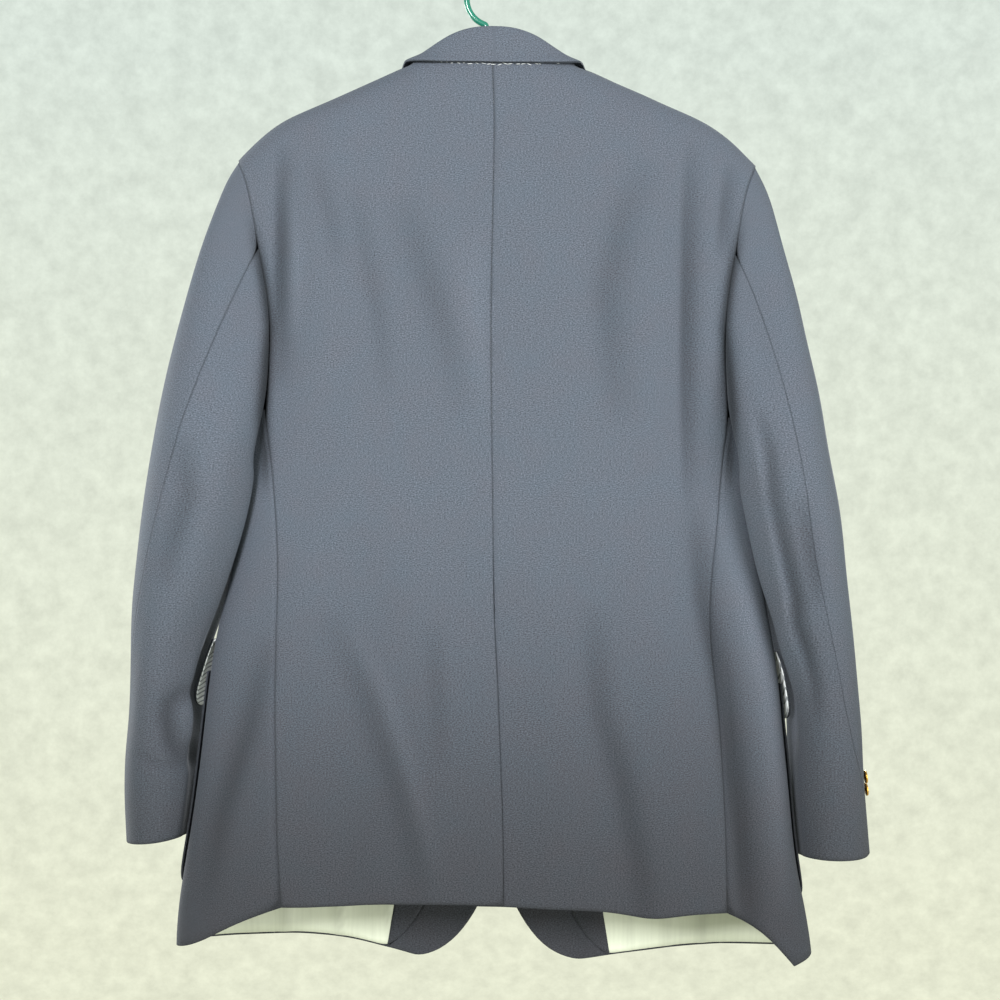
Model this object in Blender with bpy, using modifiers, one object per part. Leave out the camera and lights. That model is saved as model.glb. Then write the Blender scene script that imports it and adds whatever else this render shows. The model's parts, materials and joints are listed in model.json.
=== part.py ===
"""A tailored wool blazer that hangs on a plain plastic hanger.

Metres, +Z up. The origin is the underside of the hook's top, where a rail carries the hanger. The fronts face -Y,
and the garment's own left is +X. Every body panel is a stretch of one skin: a squarish oval section whose half
width and depths are read from BODY at each height, so neighbouring panels share their seams. A wall's inner points
are its outer points moved along the skin's normal, which keeps the seams parallel and SEAM_GAP wide.
"""

import bisect
import math

import bmesh
import bpy
from mathutils import Vector

# Cloth
WALL = 0.0016
LINING_WALL = 0.0010
SEAM_GAP = 0.0003
HALF_GAP = SEAM_GAP / 2
REST_GAP = 0.0004  # between layers that lie on each other
LAYER_GAP = 0.0012  # between the ends of layers in one plane

# Levels, from the hook down
NECK_Z = -0.0845
SHOULDER_Z = -0.177
ARMPIT_Z = -0.415
ARMPIT_DIP = 0.018
VENT_Z = -0.5995
BREAK_Z = -0.545
HEM_FRONT_Z = -0.9415
HEM_SIDE_FRONT_Z = -0.920

# The skin's section: |x / half width| ** SQUARENESS + |y / depth| ** SQUARENESS = 1
SQUARENESS = 2.5
BODY = {
    "z": (-0.069, -0.0845, -0.0887, -0.106, -0.122, -0.141, -0.149, -0.1606, -0.171, -0.177, -0.190, -0.235,
          -0.300, -0.420, -0.500, -0.560, -0.635, -0.720, -0.800, -0.860, -0.900, -0.960),
    "left": (0.036, 0.078, 0.0890, 0.1265, 0.163, 0.2065, 0.218, 0.230, 0.240, 0.2445, 0.253, 0.258,
             0.258, 0.250, 0.247, 0.250, 0.268, 0.2790, 0.2890, 0.2990, 0.3045, 0.3055),
    "right": (0.036, 0.078, 0.0905, 0.1295, 0.165, 0.2075, 0.218, 0.229, 0.239, 0.2445, 0.253, 0.258,
              0.258, 0.250, 0.247, 0.250, 0.264, 0.2725, 0.2800, 0.2885, 0.2980, 0.3000),
    "back": (0.028, 0.034, 0.035, 0.038, 0.040, 0.042, 0.0425, 0.043, 0.0435, 0.044, 0.045, 0.046,
             0.047, 0.045, 0.042, 0.041, 0.043, 0.046, 0.048, 0.050, 0.051, 0.052),
    "front": (0.024, 0.030, 0.031, 0.035, 0.038, 0.041, 0.042, 0.043, 0.044, 0.045, 0.047, 0.050,
              0.053, 0.054, 0.051, 0.049, 0.050, 0.052, 0.053, 0.053, 0.053, 0.053),
}

# Where the panels are cut, as distances from the centre line
CUTS = {
    "z": (-0.177, -0.200, -0.225, -0.254, -0.275, -0.298, -0.335, -0.370, -0.415, -0.460, -0.500, -0.557,
          -0.600, -0.641, -0.700, -0.760, -0.820, -0.880),
    "back_left": (0.2445, 0.2350, 0.2290, 0.2245, 0.2200, 0.2158, 0.2110, 0.2122, 0.2165, 0.2110, 0.2070, 0.2040,
                  0.2046, 0.2056, 0.2060, 0.2046, 0.2030, 0.1990),
    "back_right": (0.2445, 0.2340, 0.2280, 0.2235, 0.2190, 0.2150, 0.2110, 0.2120, 0.2155, 0.2095, 0.2058, 0.2003,
                   0.1988, 0.2015, 0.2080, 0.2108, 0.2120, 0.2126),
    "front": (0.2445, 0.2290, 0.2190, 0.2100, 0.2040, 0.1990, 0.1950, 0.1970, 0.2060, 0.2070, 0.2060, 0.2060,
              0.2070, 0.2080, 0.2100, 0.2120, 0.2140, 0.2160),
}

# The centre back seam, which strays a little to the garment's left before it hangs straight below the vent
CENTRE = {
    "z": (-0.100, -0.179, -0.250, -0.300, -0.367, -0.460, -0.560, -0.600, -0.641, -0.661, -0.740, -0.809, -0.870),
    "x": (0.0012, 0.0030, 0.0043, 0.0057, 0.0057, 0.0045, 0.0035, 0.0031, 0.0008, -0.0004, -0.0032, -0.0055,
          -0.0058),
}

# Hems: the back's by distance from the centre, the side's by share from its back seam to its front seam
BACK_HEM = {
    "x": (0.000, 0.050, 0.098, 0.124, 0.139, 0.155, 0.170, 0.190, 0.230),
    "left": (-0.8674, -0.8680, -0.8689, -0.8704, -0.8722, -0.8732, -0.8742, -0.8752, -0.8770),
    "right": (-0.8690, -0.8705, -0.8718, -0.8752, -0.8779, -0.8769, -0.8746, -0.8729, -0.8723),
}
SIDE_HEM = {
    "share": (0.0, 0.05, 0.125, 0.25, 0.375, 0.5, 0.75, 1.0),
    "left": (-0.8757, -0.8800, -0.8925, -0.9130, -0.9205, -0.9215, -0.9210, -0.9200),
    "right": (-0.8724, -0.8760, -0.8890, -0.9235, -0.9185, -0.9140, -0.9160, -0.9200),
}

# Folds in the skin: a soft trough, or with a negative depth a ridge, along a line from its top to its bottom
FOLDS = (
    # side, face, x_top, z_top, x_bottom, z_bottom, depth, width
    ("left", "back", 0.204, -0.165, 0.203, -0.420, 0.0040, 0.017),
    ("left", "back", 0.172, -0.170, 0.168, -0.420, -0.0018, 0.022),
    ("left", "back", 0.232, -0.640, 0.268, -0.900, 0.0035, 0.016),
    ("left", "back", 0.120, -0.480, 0.138, -0.880, 0.0022, 0.026),
    ("left", "back", 0.055, -0.560, 0.070, -0.900, -0.0018, 0.022),
    ("right", "back", 0.178, -0.160, 0.172, -0.500, 0.0038, 0.018),
    ("right", "back", 0.146, -0.180, 0.136, -0.470, -0.0018, 0.022),
    ("right", "back", 0.220, -0.660, 0.242, -0.950, 0.0060, 0.014),
    ("right", "back", 0.150, -0.560, 0.168, -0.900, -0.0026, 0.026),
    ("right", "back", 0.090, -0.600, 0.100, -0.900, 0.0020, 0.024),
    ("left", "front", 0.190, -0.170, 0.178, -0.430, 0.0036, 0.013),
    ("left", "front", 0.150, -0.400, 0.120, -0.640, 0.0026, 0.020),
    ("left", "front", 0.075, -0.600, 0.110, -0.940, 0.0024, 0.020),
    ("right", "front", 0.184, -0.170, 0.166, -0.450, 0.0032, 0.014),
    ("right", "front", 0.138, -0.420, 0.112, -0.650, 0.0028, 0.018),
    ("right", "front", 0.060, -0.620, 0.088, -0.940, 0.0022, 0.022),
)
FOLD_FADE = 0.22  # share of a fold's length over which each end fades out

# The jacket hangs a little low on its right: each point drops by this slope times its distance from the centre
LEAN_TOP = 0.0105
LEAN_HEM = 0.0220
LEAN_TOP_Z = -0.15
LEAN_HEM_Z = -0.60
# and below the neck all of it hangs this far to its right of the hook
HANG_SHIFT = -0.0037
HANG_SHIFT_TOP_Z = -0.070
HANG_SHIFT_Z = -0.160

# Rows of every panel: round the armhole, then to the vent's top, then to the hem
ARM_ROWS = 9
WAIST_ROWS = 5
SKIRT_ROWS = 8
ALL_ROWS = ARM_ROWS + WAIST_ROWS + SKIRT_ROWS
VENT_ROW = ARM_ROWS + WAIST_ROWS
ARM_CROWDING = 1.7  # above 1, rows crowd towards the shoulder's ridge
NECK_COLUMNS = 6
SHOULDER_COLUMNS = 8
BACK_COLUMNS = NECK_COLUMNS + SHOULDER_COLUMNS
SIDE_COLUMNS = 8
FRONT_SHARES = (0.0, 0.12, 0.24, 0.36, 0.48, 0.60, 0.69, 0.775, 0.85, 0.925, 1.0)  # across the panel
FACING_COLUMN = 7  # its outer edge, among FRONT_SHARES

# Centre vent
VENT_UNDERLAP = 0.036
VENT_COLUMNS = 2
VENT_DIP = WALL + REST_GAP + 0.0002

# Front edge
OVERLAP = 0.020
ROLL_TOP_X = 0.078
CUTAWAY_Z = -0.700
CUTAWAY_WIDTH = 0.095
CUTAWAY_HEIGHT = HEM_FRONT_Z * -1 + CUTAWAY_Z
CUTAWAY_ROWS = 6
LEFT_LIFT = 0.0036  # the left front lies over the right one
RIGHT_LIFT = -0.0028
LIFT_FULL_X = 0.028
LIFT_ZERO_X = 0.085

# Facing, lining and lapel
FACING_FIRST_ROW = 12
LINING_SIDE_COLUMNS = 5  # how many of the side panel's columns the lining covers
LINING_HEM_RISE = 0.002
LAPEL_EDGE = {
    "z": (-0.195, -0.250, -0.300, -0.356, -0.415, -0.453, -0.491, -0.545),  # height on the roll line
    "edge_x": (0.131, 0.131, 0.124, 0.108, 0.084, 0.063, 0.036, -0.010),
    "edge_z": (-0.199, -0.262, -0.312, -0.366, -0.422, -0.457, -0.493, -0.541),
}
LAPEL_SHARES = (0.0, 0.12, 0.34, 0.60, 0.80, 1.0)
NOTCH_SHARE = 0.60  # where the gorge ends, along the lapel's top edge
NOTCH_SAG = 0.0150
LAPEL_LAST_ROW = 12
LAPEL_RETURN = 0.009
LAPEL_LIFT = 0.0030  # how far the soft roll stands off beside the roll line
LAPEL_LIFT_Z = (-0.440, -0.380)

# Collar
GORGE_ROW = 5
COLLAR_RETURN = 0.0022
COLLAR_RETURN_GAP = 0.0030
COLLAR_STAND = {
    "station": (0.0, 0.2, 0.32, 0.5, 0.7, 1.0, 3.0),
    "height": (0.0275, 0.0264, 0.0216, 0.0112, 0.0056, 0.0040, 0.0004),
}
COLLAR_EDGE = {
    # the fall's lower edge: at the back by how far below the seam, at the front by its place
    "station": (0.0, 0.5, 0.7, 0.85, 1.0),
    "below": (0.0070, 0.0068, 0.0072, 0.0080, 0.0085),
    "row": (0, 1, 2, 3, 4, 5),
    "x": (0.0838, 0.0925, 0.0980, 0.1010, 0.1035, 0.0985),
    "z": (-0.0900, -0.1000, -0.1180, -0.1460, -0.1800, -0.2130),
}
COLLAR_FLARE = 0.0030

# Sleeves
SLEEVE_SQUARENESS = 2.2
CUFF_Z = {"left": -0.8245, "right": -0.8265}
FIRST_RING_Z = -0.452
HEAD_RINGS = 6
ARM_RINGS = 10
BACK_SEAM = 5  # column counted from the shoulder seam, down the back
FRONT_SEAM = 20
SLEEVE_CLEARANCE = 0.0045
PUSH_CENTRE_X = 0.195
SLEEVE_DROOP = {
    # how much the cloth bends down as it leaves the armhole
    "z": (-0.177, -0.215, -0.260, -0.300, -0.340),
    "left": (0.0, 0.25, 1.20, 0.95, 0.30),
    "right": (0.50, 0.90, 1.40, 0.70, 0.0),
}
SLEEVE_LEAVE = {"left": 0.48, "right": 0.62}  # how far the cloth keeps its way off the armhole, as a share
SLEEVE_ARRIVE = {"left": 0.70, "right": 0.90}  # and how early it takes the way it hangs in
UNDER_TURN = math.radians(150)  # how far the cloth folds over as it leaves the armhole's foot
UNDER_TOP_Z = -0.270
SLEEVES = {
    "z": (-0.400, -0.460, -0.515, -0.550, -0.592, -0.625, -0.690, -0.716, -0.735, -0.750, -0.780, -0.810, -0.829),
    "outer_left": (0.3158, 0.3268, 0.335, 0.3396, 0.3453, 0.3467, 0.3495, 0.3515, 0.3535, 0.3572, 0.3592, 0.3604,
                   0.3590),
    "inner_left": (0.205, 0.2150, 0.2260, 0.2370, 0.2530, 0.270, 0.2835, 0.2805, 0.2819, 0.283, 0.2858, 0.2885,
                   0.291),
    "outer_right": (0.3046, 0.3160, 0.3255, 0.3292, 0.3340, 0.3385, 0.3467, 0.3484, 0.3488, 0.3495, 0.3540, 0.3566,
                    0.3588),
    "inner_right": (0.2080, 0.2160, 0.2260, 0.2350, 0.2480, 0.2610, 0.2790, 0.2802, 0.2800, 0.2798, 0.2798, 0.2798,
                    0.280),
    "half_depth": (0.066, 0.068, 0.066, 0.064, 0.062, 0.060, 0.057, 0.056, 0.056, 0.056, 0.0555, 0.055, 0.055),
    "centre_y": (0.002, 0.000, -0.003, -0.006, -0.010, -0.013, -0.020, -0.024, -0.0257, -0.027, -0.0305, -0.034,
                 -0.035),
    "tilt_left": (0.75, 0.55, 0.35, 0.25, 0.15, 0.10, 0.06, 0.05, 0.03, 0.01, -0.05, -0.11, -0.14),
    "tilt_right": (0.75, 0.55, 0.35, 0.25, 0.15, 0.10, 0.06, 0.05, 0.04, 0.03, 0.02, 0.01, 0.0),
    "seam_left": (75, 66, 58, 52, 47, 40, 20, 12, 7.5, 4, -2, -8, -10),
    "seam_right": (81, 79, 80, 80, 78, 76, 73, 60, 48, 38, 26, 15, 8),
}
SLEEVE_FOLDS = (
    # side, turn_top, z_top, turn_bottom, z_bottom, depth, width in degrees
    ("right", 118, -0.440, 96, -0.720, 0.0045, 13),
    ("right", 86, -0.430, 74, -0.640, -0.0025, 15),
    ("left", 128, -0.600, 70, -0.790, 0.0050, 17),
    ("left", 104, -0.430, 96, -0.600, -0.0025, 18),
    ("left", 300, -0.520, 268, -0.740, 0.0050, 17),
    ("right", 292, -0.540, 262, -0.760, 0.0045, 17),
)
SLEEVE_STAND_OFF = {
    # how far the sleeve's front half stays off the skin, to clear the pocket and its flap
    "z": (-0.400, -0.600, -0.640, -0.703, -0.724, -0.760, -0.880),
    "stand_off": (0.0045, 0.0055, 0.0140, 0.0228, 0.0100, 0.0075, 0.0075),
}

# Hip pockets and flaps
POCKET_TOP_Z = -0.664
POCKET_BOTTOM_Z = -0.868
POCKET_REAR_TURN = 91.0
POCKET_FRONT_X = 0.125
POCKET_CORNER = 0.022
POCKET_GAP = 0.0012
POCKET_COLUMNS = 9
POCKET_ROWS = 7
FLAP_TOP_Z = -0.634
FLAP_BOTTOM_Z = -0.6995
FLAP_REAR_TURN = 92.0
FLAP_FRONT_X = 0.128
FLAP_CORNER = 0.014
FLAP_COLUMNS = 9
FLAP_ROWS = 3
FLAP_LINING_WALL = 0.0010
FLAP_REAR_STAND = {"left": 0.0105, "right": 0.0070}
FLAP_FRONT_STAND = 0.0050

# Buttons
FRONT_BUTTON_RADIUS = 0.010
FRONT_BUTTON_LEVELS = {"upper": -0.560, "lower": -0.664}
CUFF_BUTTON_RADIUS = 0.0063
CUFF_BUTTON_LEVELS = {"upper": -0.752, "lower": -0.765}
CUFF_BUTTON_COLUMNS = {"left": 2.3, "right": 2.4}  # how far in front of the back seam
BUTTON_SEAT = 0.0005
BUTTON_STEPS = 14

# Hanger
HOOK_ROD = 0.0029
HOOK_RADIUS = 0.0250
HOOK_TIP_DEGREES = 172
HOOK_FOOT_DEGREES = -74
STEM_BOTTOM_Z = -0.0735
ARM_ROD = 0.0045
ARM_END_X = 0.204
CROWN_SLOPE = 0.30
HANGER_BEND = 0.013
COLLAR_ROOM = 0.0065  # how much lower the arms run under the collar's seam

COLOURS = {
    # linear colour, roughness, metallic
    "wool": ((0.060, 0.070, 0.100), 0.85, 0.0),
    "lining": ((0.42, 0.45, 0.38), 0.55, 0.0),
    "flap_lining": ((0.55, 0.58, 0.55), 0.50, 0.0),
    "brass": ((0.62, 0.40, 0.12), 0.28, 1.0),
    "green_plastic": ((0.02, 0.28, 0.20), 0.25, 0.0),
}


# Plain functions


def smooth_step(value):
    value = min(max(value, 0.0), 1.0)
    return value * value * (3 - 2 * value)


def blend(a, b, share):
    return a + (b - a) * share


def read(table, column, at, key="z"):
    """A smooth curve through one column of a table, read where its key column is at."""
    keys = table[key]
    sign = -1 if keys[0] > keys[-1] else 1
    keys = [sign * value for value in keys]
    values = table[column]
    at = min(max(sign * at, keys[0]), keys[-1])
    k = min(max(bisect.bisect_right(keys, at) - 1, 0), len(keys) - 2)

    def slope(i):
        low, high = max(i - 1, 0), min(i + 1, len(keys) - 1)
        return (values[high] - values[low]) / (keys[high] - keys[low])

    step = keys[k + 1] - keys[k]
    t = (at - keys[k]) / step
    return (
        (2 * t**3 - 3 * t**2 + 1) * values[k]
        + (t**3 - 2 * t**2 + t) * step * slope(k)
        + (3 * t**2 - 2 * t**3) * values[k + 1]
        + (t**3 - t**2) * step * slope(k + 1)
    )


def lean(point):
    share = smooth_step((LEAN_TOP_Z - point.z) / (LEAN_TOP_Z - LEAN_HEM_Z))
    shift = HANG_SHIFT * smooth_step((HANG_SHIFT_TOP_Z - point.z) / (HANG_SHIFT_TOP_Z - HANG_SHIFT_Z))
    return Vector((point.x + shift, point.y, point.z + blend(LEAN_TOP, LEAN_HEM, share) * point.x))


# The skin. x counts away from the centre on either side, and side says which


def depth_of(face, z):
    return read(BODY, face, z)


def skin_y(side, face, x, z):
    share = min(abs(x) / read(BODY, side, z), 1.0)
    y = depth_of(face, z) * (1 - share**SQUARENESS) ** (1 / SQUARENESS)
    y = max(y, HALF_GAP)
    return y if face == "back" else -y


def skin_normal(side, x, y, z):
    face = "back" if y >= 0 else "front"

    def level(z_at):
        across = (abs(x) / read(BODY, side, z_at)) ** SQUARENESS
        return across + (abs(y) / depth_of(face, z_at)) ** SQUARENESS

    step = 0.002
    width, depth = read(BODY, side, z), depth_of(face, z)
    power = SQUARENESS - 1
    return Vector((
        math.copysign((abs(x) / width) ** power / width, x),
        math.copysign((abs(y) / depth) ** power / depth, y) if abs(y) > 2 * HALF_GAP else 0.0,
        (level(z + step) - level(z - step)) / (2 * step * SQUARENESS),
    )).normalized()


def fold_depth(side, face, x, z):
    total = 0.0
    for its_side, its_face, x_top, z_top, x_bottom, z_bottom, depth, width in FOLDS:
        if (its_side, its_face) != (side, face) or not z_bottom <= z <= z_top:
            continue
        share = (z_top - z) / (z_top - z_bottom)
        fade = smooth_step(min(share, 1 - share) / FOLD_FADE)
        if z_bottom < VENT_Z - 0.2:
            fade = smooth_step(share / FOLD_FADE)
        total += depth * fade * math.exp(-(((x - blend(x_top, x_bottom, share)) / width) ** 2))
    return total


def lift_of(side, x):
    """The fronts part near the centre, so that the left one can lie over the right one."""
    full = LEFT_LIFT if side == "left" else RIGHT_LIFT
    return full * (1 - smooth_step((x - LIFT_FULL_X) / (LIFT_ZERO_X - LIFT_FULL_X)))


def vent_dip(side, x, z):
    """The right back dips under the left one round the vent."""
    if side == "left":
        return 0.0
    down = smooth_step((z - VENT_Z - 0.050) / -0.050)
    return VENT_DIP * down * (1 - smooth_step((x - 0.018) / 0.040))


def on_skin(side, face, x, z, out=0.0):
    """(point, normal) on a body panel's outer surface, or out from it."""
    y = skin_y(side, face, x, z)
    normal = skin_normal(side, x, y, z)
    moved = out - fold_depth(side, face, x, z)
    if face == "front":
        moved += lift_of(side, x)
    else:
        moved -= vent_dip(side, x, z)
    return Vector((x, y, z)) + moved * normal, normal


def turn_of(side, x, z):
    """The angle round the section at x, from the centre of the face it is on."""
    share = min(x / read(BODY, side, z), 1.0)
    return math.degrees(math.asin(share ** (SQUARENESS / 2)))


def at_turn(side, turn, z, out=0.0):
    """on_skin by an angle round the section, from 0 at the centre back to 180 at the centre front."""
    face = "back" if turn <= 90 else "front"
    share = math.sin(math.radians(turn)) ** (2 / SQUARENESS)
    return on_skin(side, face, share * read(BODY, side, z), z, out)


def ridge_z(side, x):
    """The height of the shoulder's ridge at x."""
    low, high = SHOULDER_Z, BODY["z"][0]
    for _ in range(30):
        middle = (low + high) / 2
        if read(BODY, side, middle) > x:
            low = middle
        else:
            high = middle
    return (low + high) / 2


# Edges that panels share


def arm_share(row):
    return (row / ARM_ROWS) ** ARM_CROWDING


def outer_level(row, hem_z):
    """The height of a panel's outer edge at a row."""
    if row <= ARM_ROWS:
        return blend(SHOULDER_Z, ARMPIT_Z, arm_share(row))
    if row <= VENT_ROW:
        return blend(ARMPIT_Z, VENT_Z, (row - ARM_ROWS) / WAIST_ROWS)
    return blend(VENT_Z, hem_z, (row - VENT_ROW) / SKIRT_ROWS)


def inner_level(row, hem_z):
    """The same for an edge that starts at the neck."""
    return blend(NECK_Z, ARMPIT_Z, arm_share(row)) if row <= ARM_ROWS else outer_level(row, hem_z)


def row_weight(row):
    """How far down the panel a row is, from 0 to 1, for blending its top and bottom edges."""
    top = (SHOULDER_Z - ARMPIT_Z) / (SHOULDER_Z - HEM_SIDE_FRONT_Z)
    if row <= ARM_ROWS:
        return top * arm_share(row)
    return blend(top, 1.0, (row - ARM_ROWS) / (ALL_ROWS - ARM_ROWS))


def coons(top, bottom, near, far, corners, u, v):
    """A point of the patch between four edges, each read at this u or v."""
    top_near, top_far, bottom_near, bottom_far = corners
    return tuple(
        (1 - v) * top[k] + v * bottom[k] + (1 - u) * near[k] + u * far[k]
        - (1 - u) * (1 - v) * top_near[k] - u * (1 - v) * top_far[k]
        - (1 - u) * v * bottom_near[k] - u * v * bottom_far[k]
        for k in (0, 1)
    )


def shoulder_point(side, share):
    """(x, z) on the shoulder's ridge, from the neck to the sleeve."""
    x = blend(ROLL_TOP_X, read(BODY, side, SHOULDER_Z), share)
    return x, (NECK_Z if share == 0 else SHOULDER_Z if share == 1 else ridge_z(side, x))


def neck_x(column):
    return ROLL_TOP_X * math.sin(math.pi / 2 * column / NECK_COLUMNS)


def back_top(side, column):
    if column <= NECK_COLUMNS:
        return neck_x(column), NECK_Z
    return shoulder_point(side, (column - NECK_COLUMNS) / SHOULDER_COLUMNS)


def centre_back(side, row):
    z = inner_level(row, BACK_HEM[side][0])
    x = read(CENTRE, "x", z)
    return (x if side == "left" else -x) + HALF_GAP, z


def back_outer(side, row):
    z = outer_level(row, SIDE_HEM[side][0])
    return read(CUTS, f"back_{side}", z) - (HALF_GAP if row > 0 else 0), z


def front_outer(side, row):
    z = outer_level(row, HEM_SIDE_FRONT_Z)
    return read(CUTS, "front", z) - (HALF_GAP if row > 0 else 0), z


def roll_x(z):
    return blend(ROLL_TOP_X, -OVERLAP, (NECK_Z - z) / (NECK_Z - BREAK_Z))


def front_edge(row):
    """(x, z) on the front edge: the roll line, the straight edge, and the rounded cutaway."""
    straight_rows = SKIRT_ROWS - CUTAWAY_ROWS
    if row <= VENT_ROW:
        z = inner_level(row, HEM_FRONT_Z)
        return max(roll_x(z), -OVERLAP), z
    if row <= VENT_ROW + straight_rows:
        return -OVERLAP, blend(VENT_Z, CUTAWAY_Z, (row - VENT_ROW) / straight_rows)
    angle = math.pi / 2 * (row - VENT_ROW - straight_rows) / CUTAWAY_ROWS
    return (
        -OVERLAP + CUTAWAY_WIDTH * (1 - math.cos(angle)),
        CUTAWAY_Z - CUTAWAY_HEIGHT * math.sin(angle),
    )


# Making walls


def wall(name, outer, inner, side, material, keep=None):
    """A closed wall between two matching grids of points: a flat grid, extruded, its layers moved into place."""
    rows, columns = len(outer) - 1, len(outer[0]) - 1
    grid = bmesh.new()
    bmesh.ops.create_grid(grid, x_segments=columns, y_segments=rows, size=0.5)

    def place(vert):
        return round((vert.co.y + 0.5) * rows), round((vert.co.x + 0.5) * columns)

    if keep:
        dropped = [
            face for face in grid.faces
            if not keep(min(place(v)[0] for v in face.verts), min(place(v)[1] for v in face.verts))
        ]
        bmesh.ops.delete(grid, geom=dropped, context="FACES")
    made = bmesh.ops.extrude_face_region(grid, geom=grid.faces[:], use_keep_orig=True)
    inside = {item for item in made["geom"] if isinstance(item, bmesh.types.BMVert)}
    flip = -1 if side == "right" else 1
    for vert in grid.verts:
        row, column = place(vert)
        x, y, z = (inner if vert in inside else outer)[row][column]
        vert.co = lean(Vector((flip * x, y, z)))
    bmesh.ops.recalc_face_normals(grid, faces=grid.faces[:])
    return finish(name, grid, material)


def finish(name, grid, material):
    mesh = bpy.data.meshes.new(name)
    grid.to_mesh(mesh)
    grid.free()
    mesh.materials.append(MATERIALS[material])
    mesh.shade_smooth()
    mesh.set_sharp_from_angle(angle=math.radians(50))
    piece = bpy.data.objects.new(name, mesh)
    COLLECTION.objects.link(piece)
    return piece


def layers(rows, thickness):
    """Two grids from rows of (point, normal): the points, and the points moved in by the thickness."""
    outer = [[point for point, _ in row] for row in rows]
    inner = [[point - thickness * normal for point, normal in row] for row in rows]
    return outer, inner


# Body panels


def back_panel(side):
    hem_near, hem_far = centre_back(side, ALL_ROWS), back_outer(side, ALL_ROWS)
    corners = (centre_back(side, 0), shoulder_point(side, 1), hem_near, hem_far)
    rows = []
    for row in range(ALL_ROWS + 1):
        near, far = centre_back(side, row), back_outer(side, row)
        line = []
        if side == "right":
            for step in range(VENT_COLUMNS, 0, -1):
                x = blend(near[0], near[0] - VENT_UNDERLAP, step / VENT_COLUMNS)
                line.append(on_skin(side, "back", x, near[1]))
        for column in range(BACK_COLUMNS + 1):
            u = column / BACK_COLUMNS
            hem_x = blend(hem_near[0], hem_far[0], u)
            hem = (hem_x, blend(hem_near[1], hem_far[1], u) + hem_wave(side, u, hem_x, hem_near, hem_far))
            top = back_top(side, column) if column else corners[0]
            x, z = coons(top, hem, near, far, corners, u, row_weight(row))
            line.append(on_skin(side, "back", x, z))
        rows.append(line)
    extra = VENT_COLUMNS if side == "right" else 0
    wall(
        f"back_{side}", *layers(rows, WALL), side, "wool",
        keep=lambda row, column: column >= extra or row >= VENT_ROW,
    )


def hem_wave(side, u, x, near, far):
    """How far the back's hem strays from a straight line between its ends."""
    def off(at_x, at_z):
        return read(BACK_HEM, side, at_x, key="x") - at_z

    return off(x, blend(near[1], far[1], u)) - blend(off(*near), off(*far), u)


def side_rows(side):
    """The side panel's points, row by row from its back seam to its front seam."""
    rows = []
    for row in range(ARM_ROWS, ALL_ROWS + 1):
        down = (row - ARM_ROWS) / (ALL_ROWS - ARM_ROWS)
        back_z, front_z = outer_level(row, SIDE_HEM[side][0]), outer_level(row, HEM_SIDE_FRONT_Z)
        line = []
        for column in range(SIDE_COLUMNS + 1):
            share = column / SIDE_COLUMNS
            dip = ARMPIT_DIP * math.sin(math.pi * share) * (1 - down) ** 2
            hem = read(SIDE_HEM, side, share, key="share") - blend(SIDE_HEM[side][0], HEM_SIDE_FRONT_Z, share)
            z = blend(back_z, front_z, share) - dip + hem * smooth_step(down * 1.6 - 0.6)
            back_turn = turn_of(side, read(CUTS, f"back_{side}", z) + HALF_GAP, z)
            front_turn = 180 - turn_of(side, read(CUTS, "front", z) + HALF_GAP, z)
            line.append(at_turn(side, blend(back_turn, front_turn, share), z))
        rows.append(line)
    return rows


def side_panel(side):
    wall(f"side_{side}", *layers(side_rows(side), WALL), side, "wool")


def front_places(side):
    """(x, z) of the front panel's grid, row by row from its outer edge to its front edge."""
    corners = (
        shoulder_point(side, 1), (ROLL_TOP_X, NECK_Z),
        front_outer(side, ALL_ROWS), front_edge(ALL_ROWS),
    )
    rows = []
    for row in range(ALL_ROWS + 1):
        near, far = front_outer(side, row), front_edge(row)
        line = []
        for u in FRONT_SHARES:
            sag = 0.0028 * math.sin(math.pi * u) * (1 if side == "left" else -1)
            hem = (blend(corners[2][0], corners[3][0], u), blend(corners[2][1], corners[3][1], u**1.6) + sag)
            top = shoulder_point(side, 1 - u)
            line.append(coons(top, hem, near, far, corners, u, row_weight(row)))
        rows.append(line)
    return rows


def front_panel(side):
    rows = [[on_skin(side, "front", x, z) for x, z in line] for line in front_places(side)]
    wall(f"front_{side}", *layers(rows, WALL), side, "wool")


def inside_front(side, columns, rise):
    """Points inside the front, under the panel's own grid, from row FACING_FIRST_ROW to the hem."""
    rows = []
    for line in front_places(side)[FACING_FIRST_ROW:]:
        rows.append([on_skin(side, "front", x, z, -WALL - REST_GAP) for x, z in line[columns]])
    raise_hem(rows, rise)
    return rows


def raise_hem(rows, rise):
    for (point, _), (above, _) in zip(rows[-1], rows[-2]):
        point += (above - point).normalized() * rise


def facing(side):
    """Self cloth inside the front edge, from the roll's end to the hem."""
    rows = inside_front(side, slice(FACING_COLUMN, None), 0.0004)
    wall(f"facing_{side}", *layers(rows, LINING_WALL), side, "wool")


def lining(side):
    """The pale lining inside the front and the side's front half, seen at the hem."""
    front = inside_front(side, slice(None, FACING_COLUMN + 1), LINING_HEM_RISE)
    rows = []
    for line, side_line in zip(front, side_rows(side)[FACING_FIRST_ROW - ARM_ROWS:]):
        last, before = line[-1][0], line[-2][0]
        line[-1] = (last + (before - last).normalized() * SEAM_GAP, line[-1][1])
        beside = []
        for point, normal in side_line[-1 - LINING_SIDE_COLUMNS:-1]:
            beside.append((point - (WALL + REST_GAP) * normal, normal))
        rows.append(beside + line)
    raise_hem([line[:LINING_SIDE_COLUMNS] for line in rows], LINING_HEM_RISE)
    wall(f"lining_{side}", *layers(rows, LINING_WALL), side, "lining")


# Lapels and collar: a strip that turns round the panel's edge, on the panel's own rows


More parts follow.
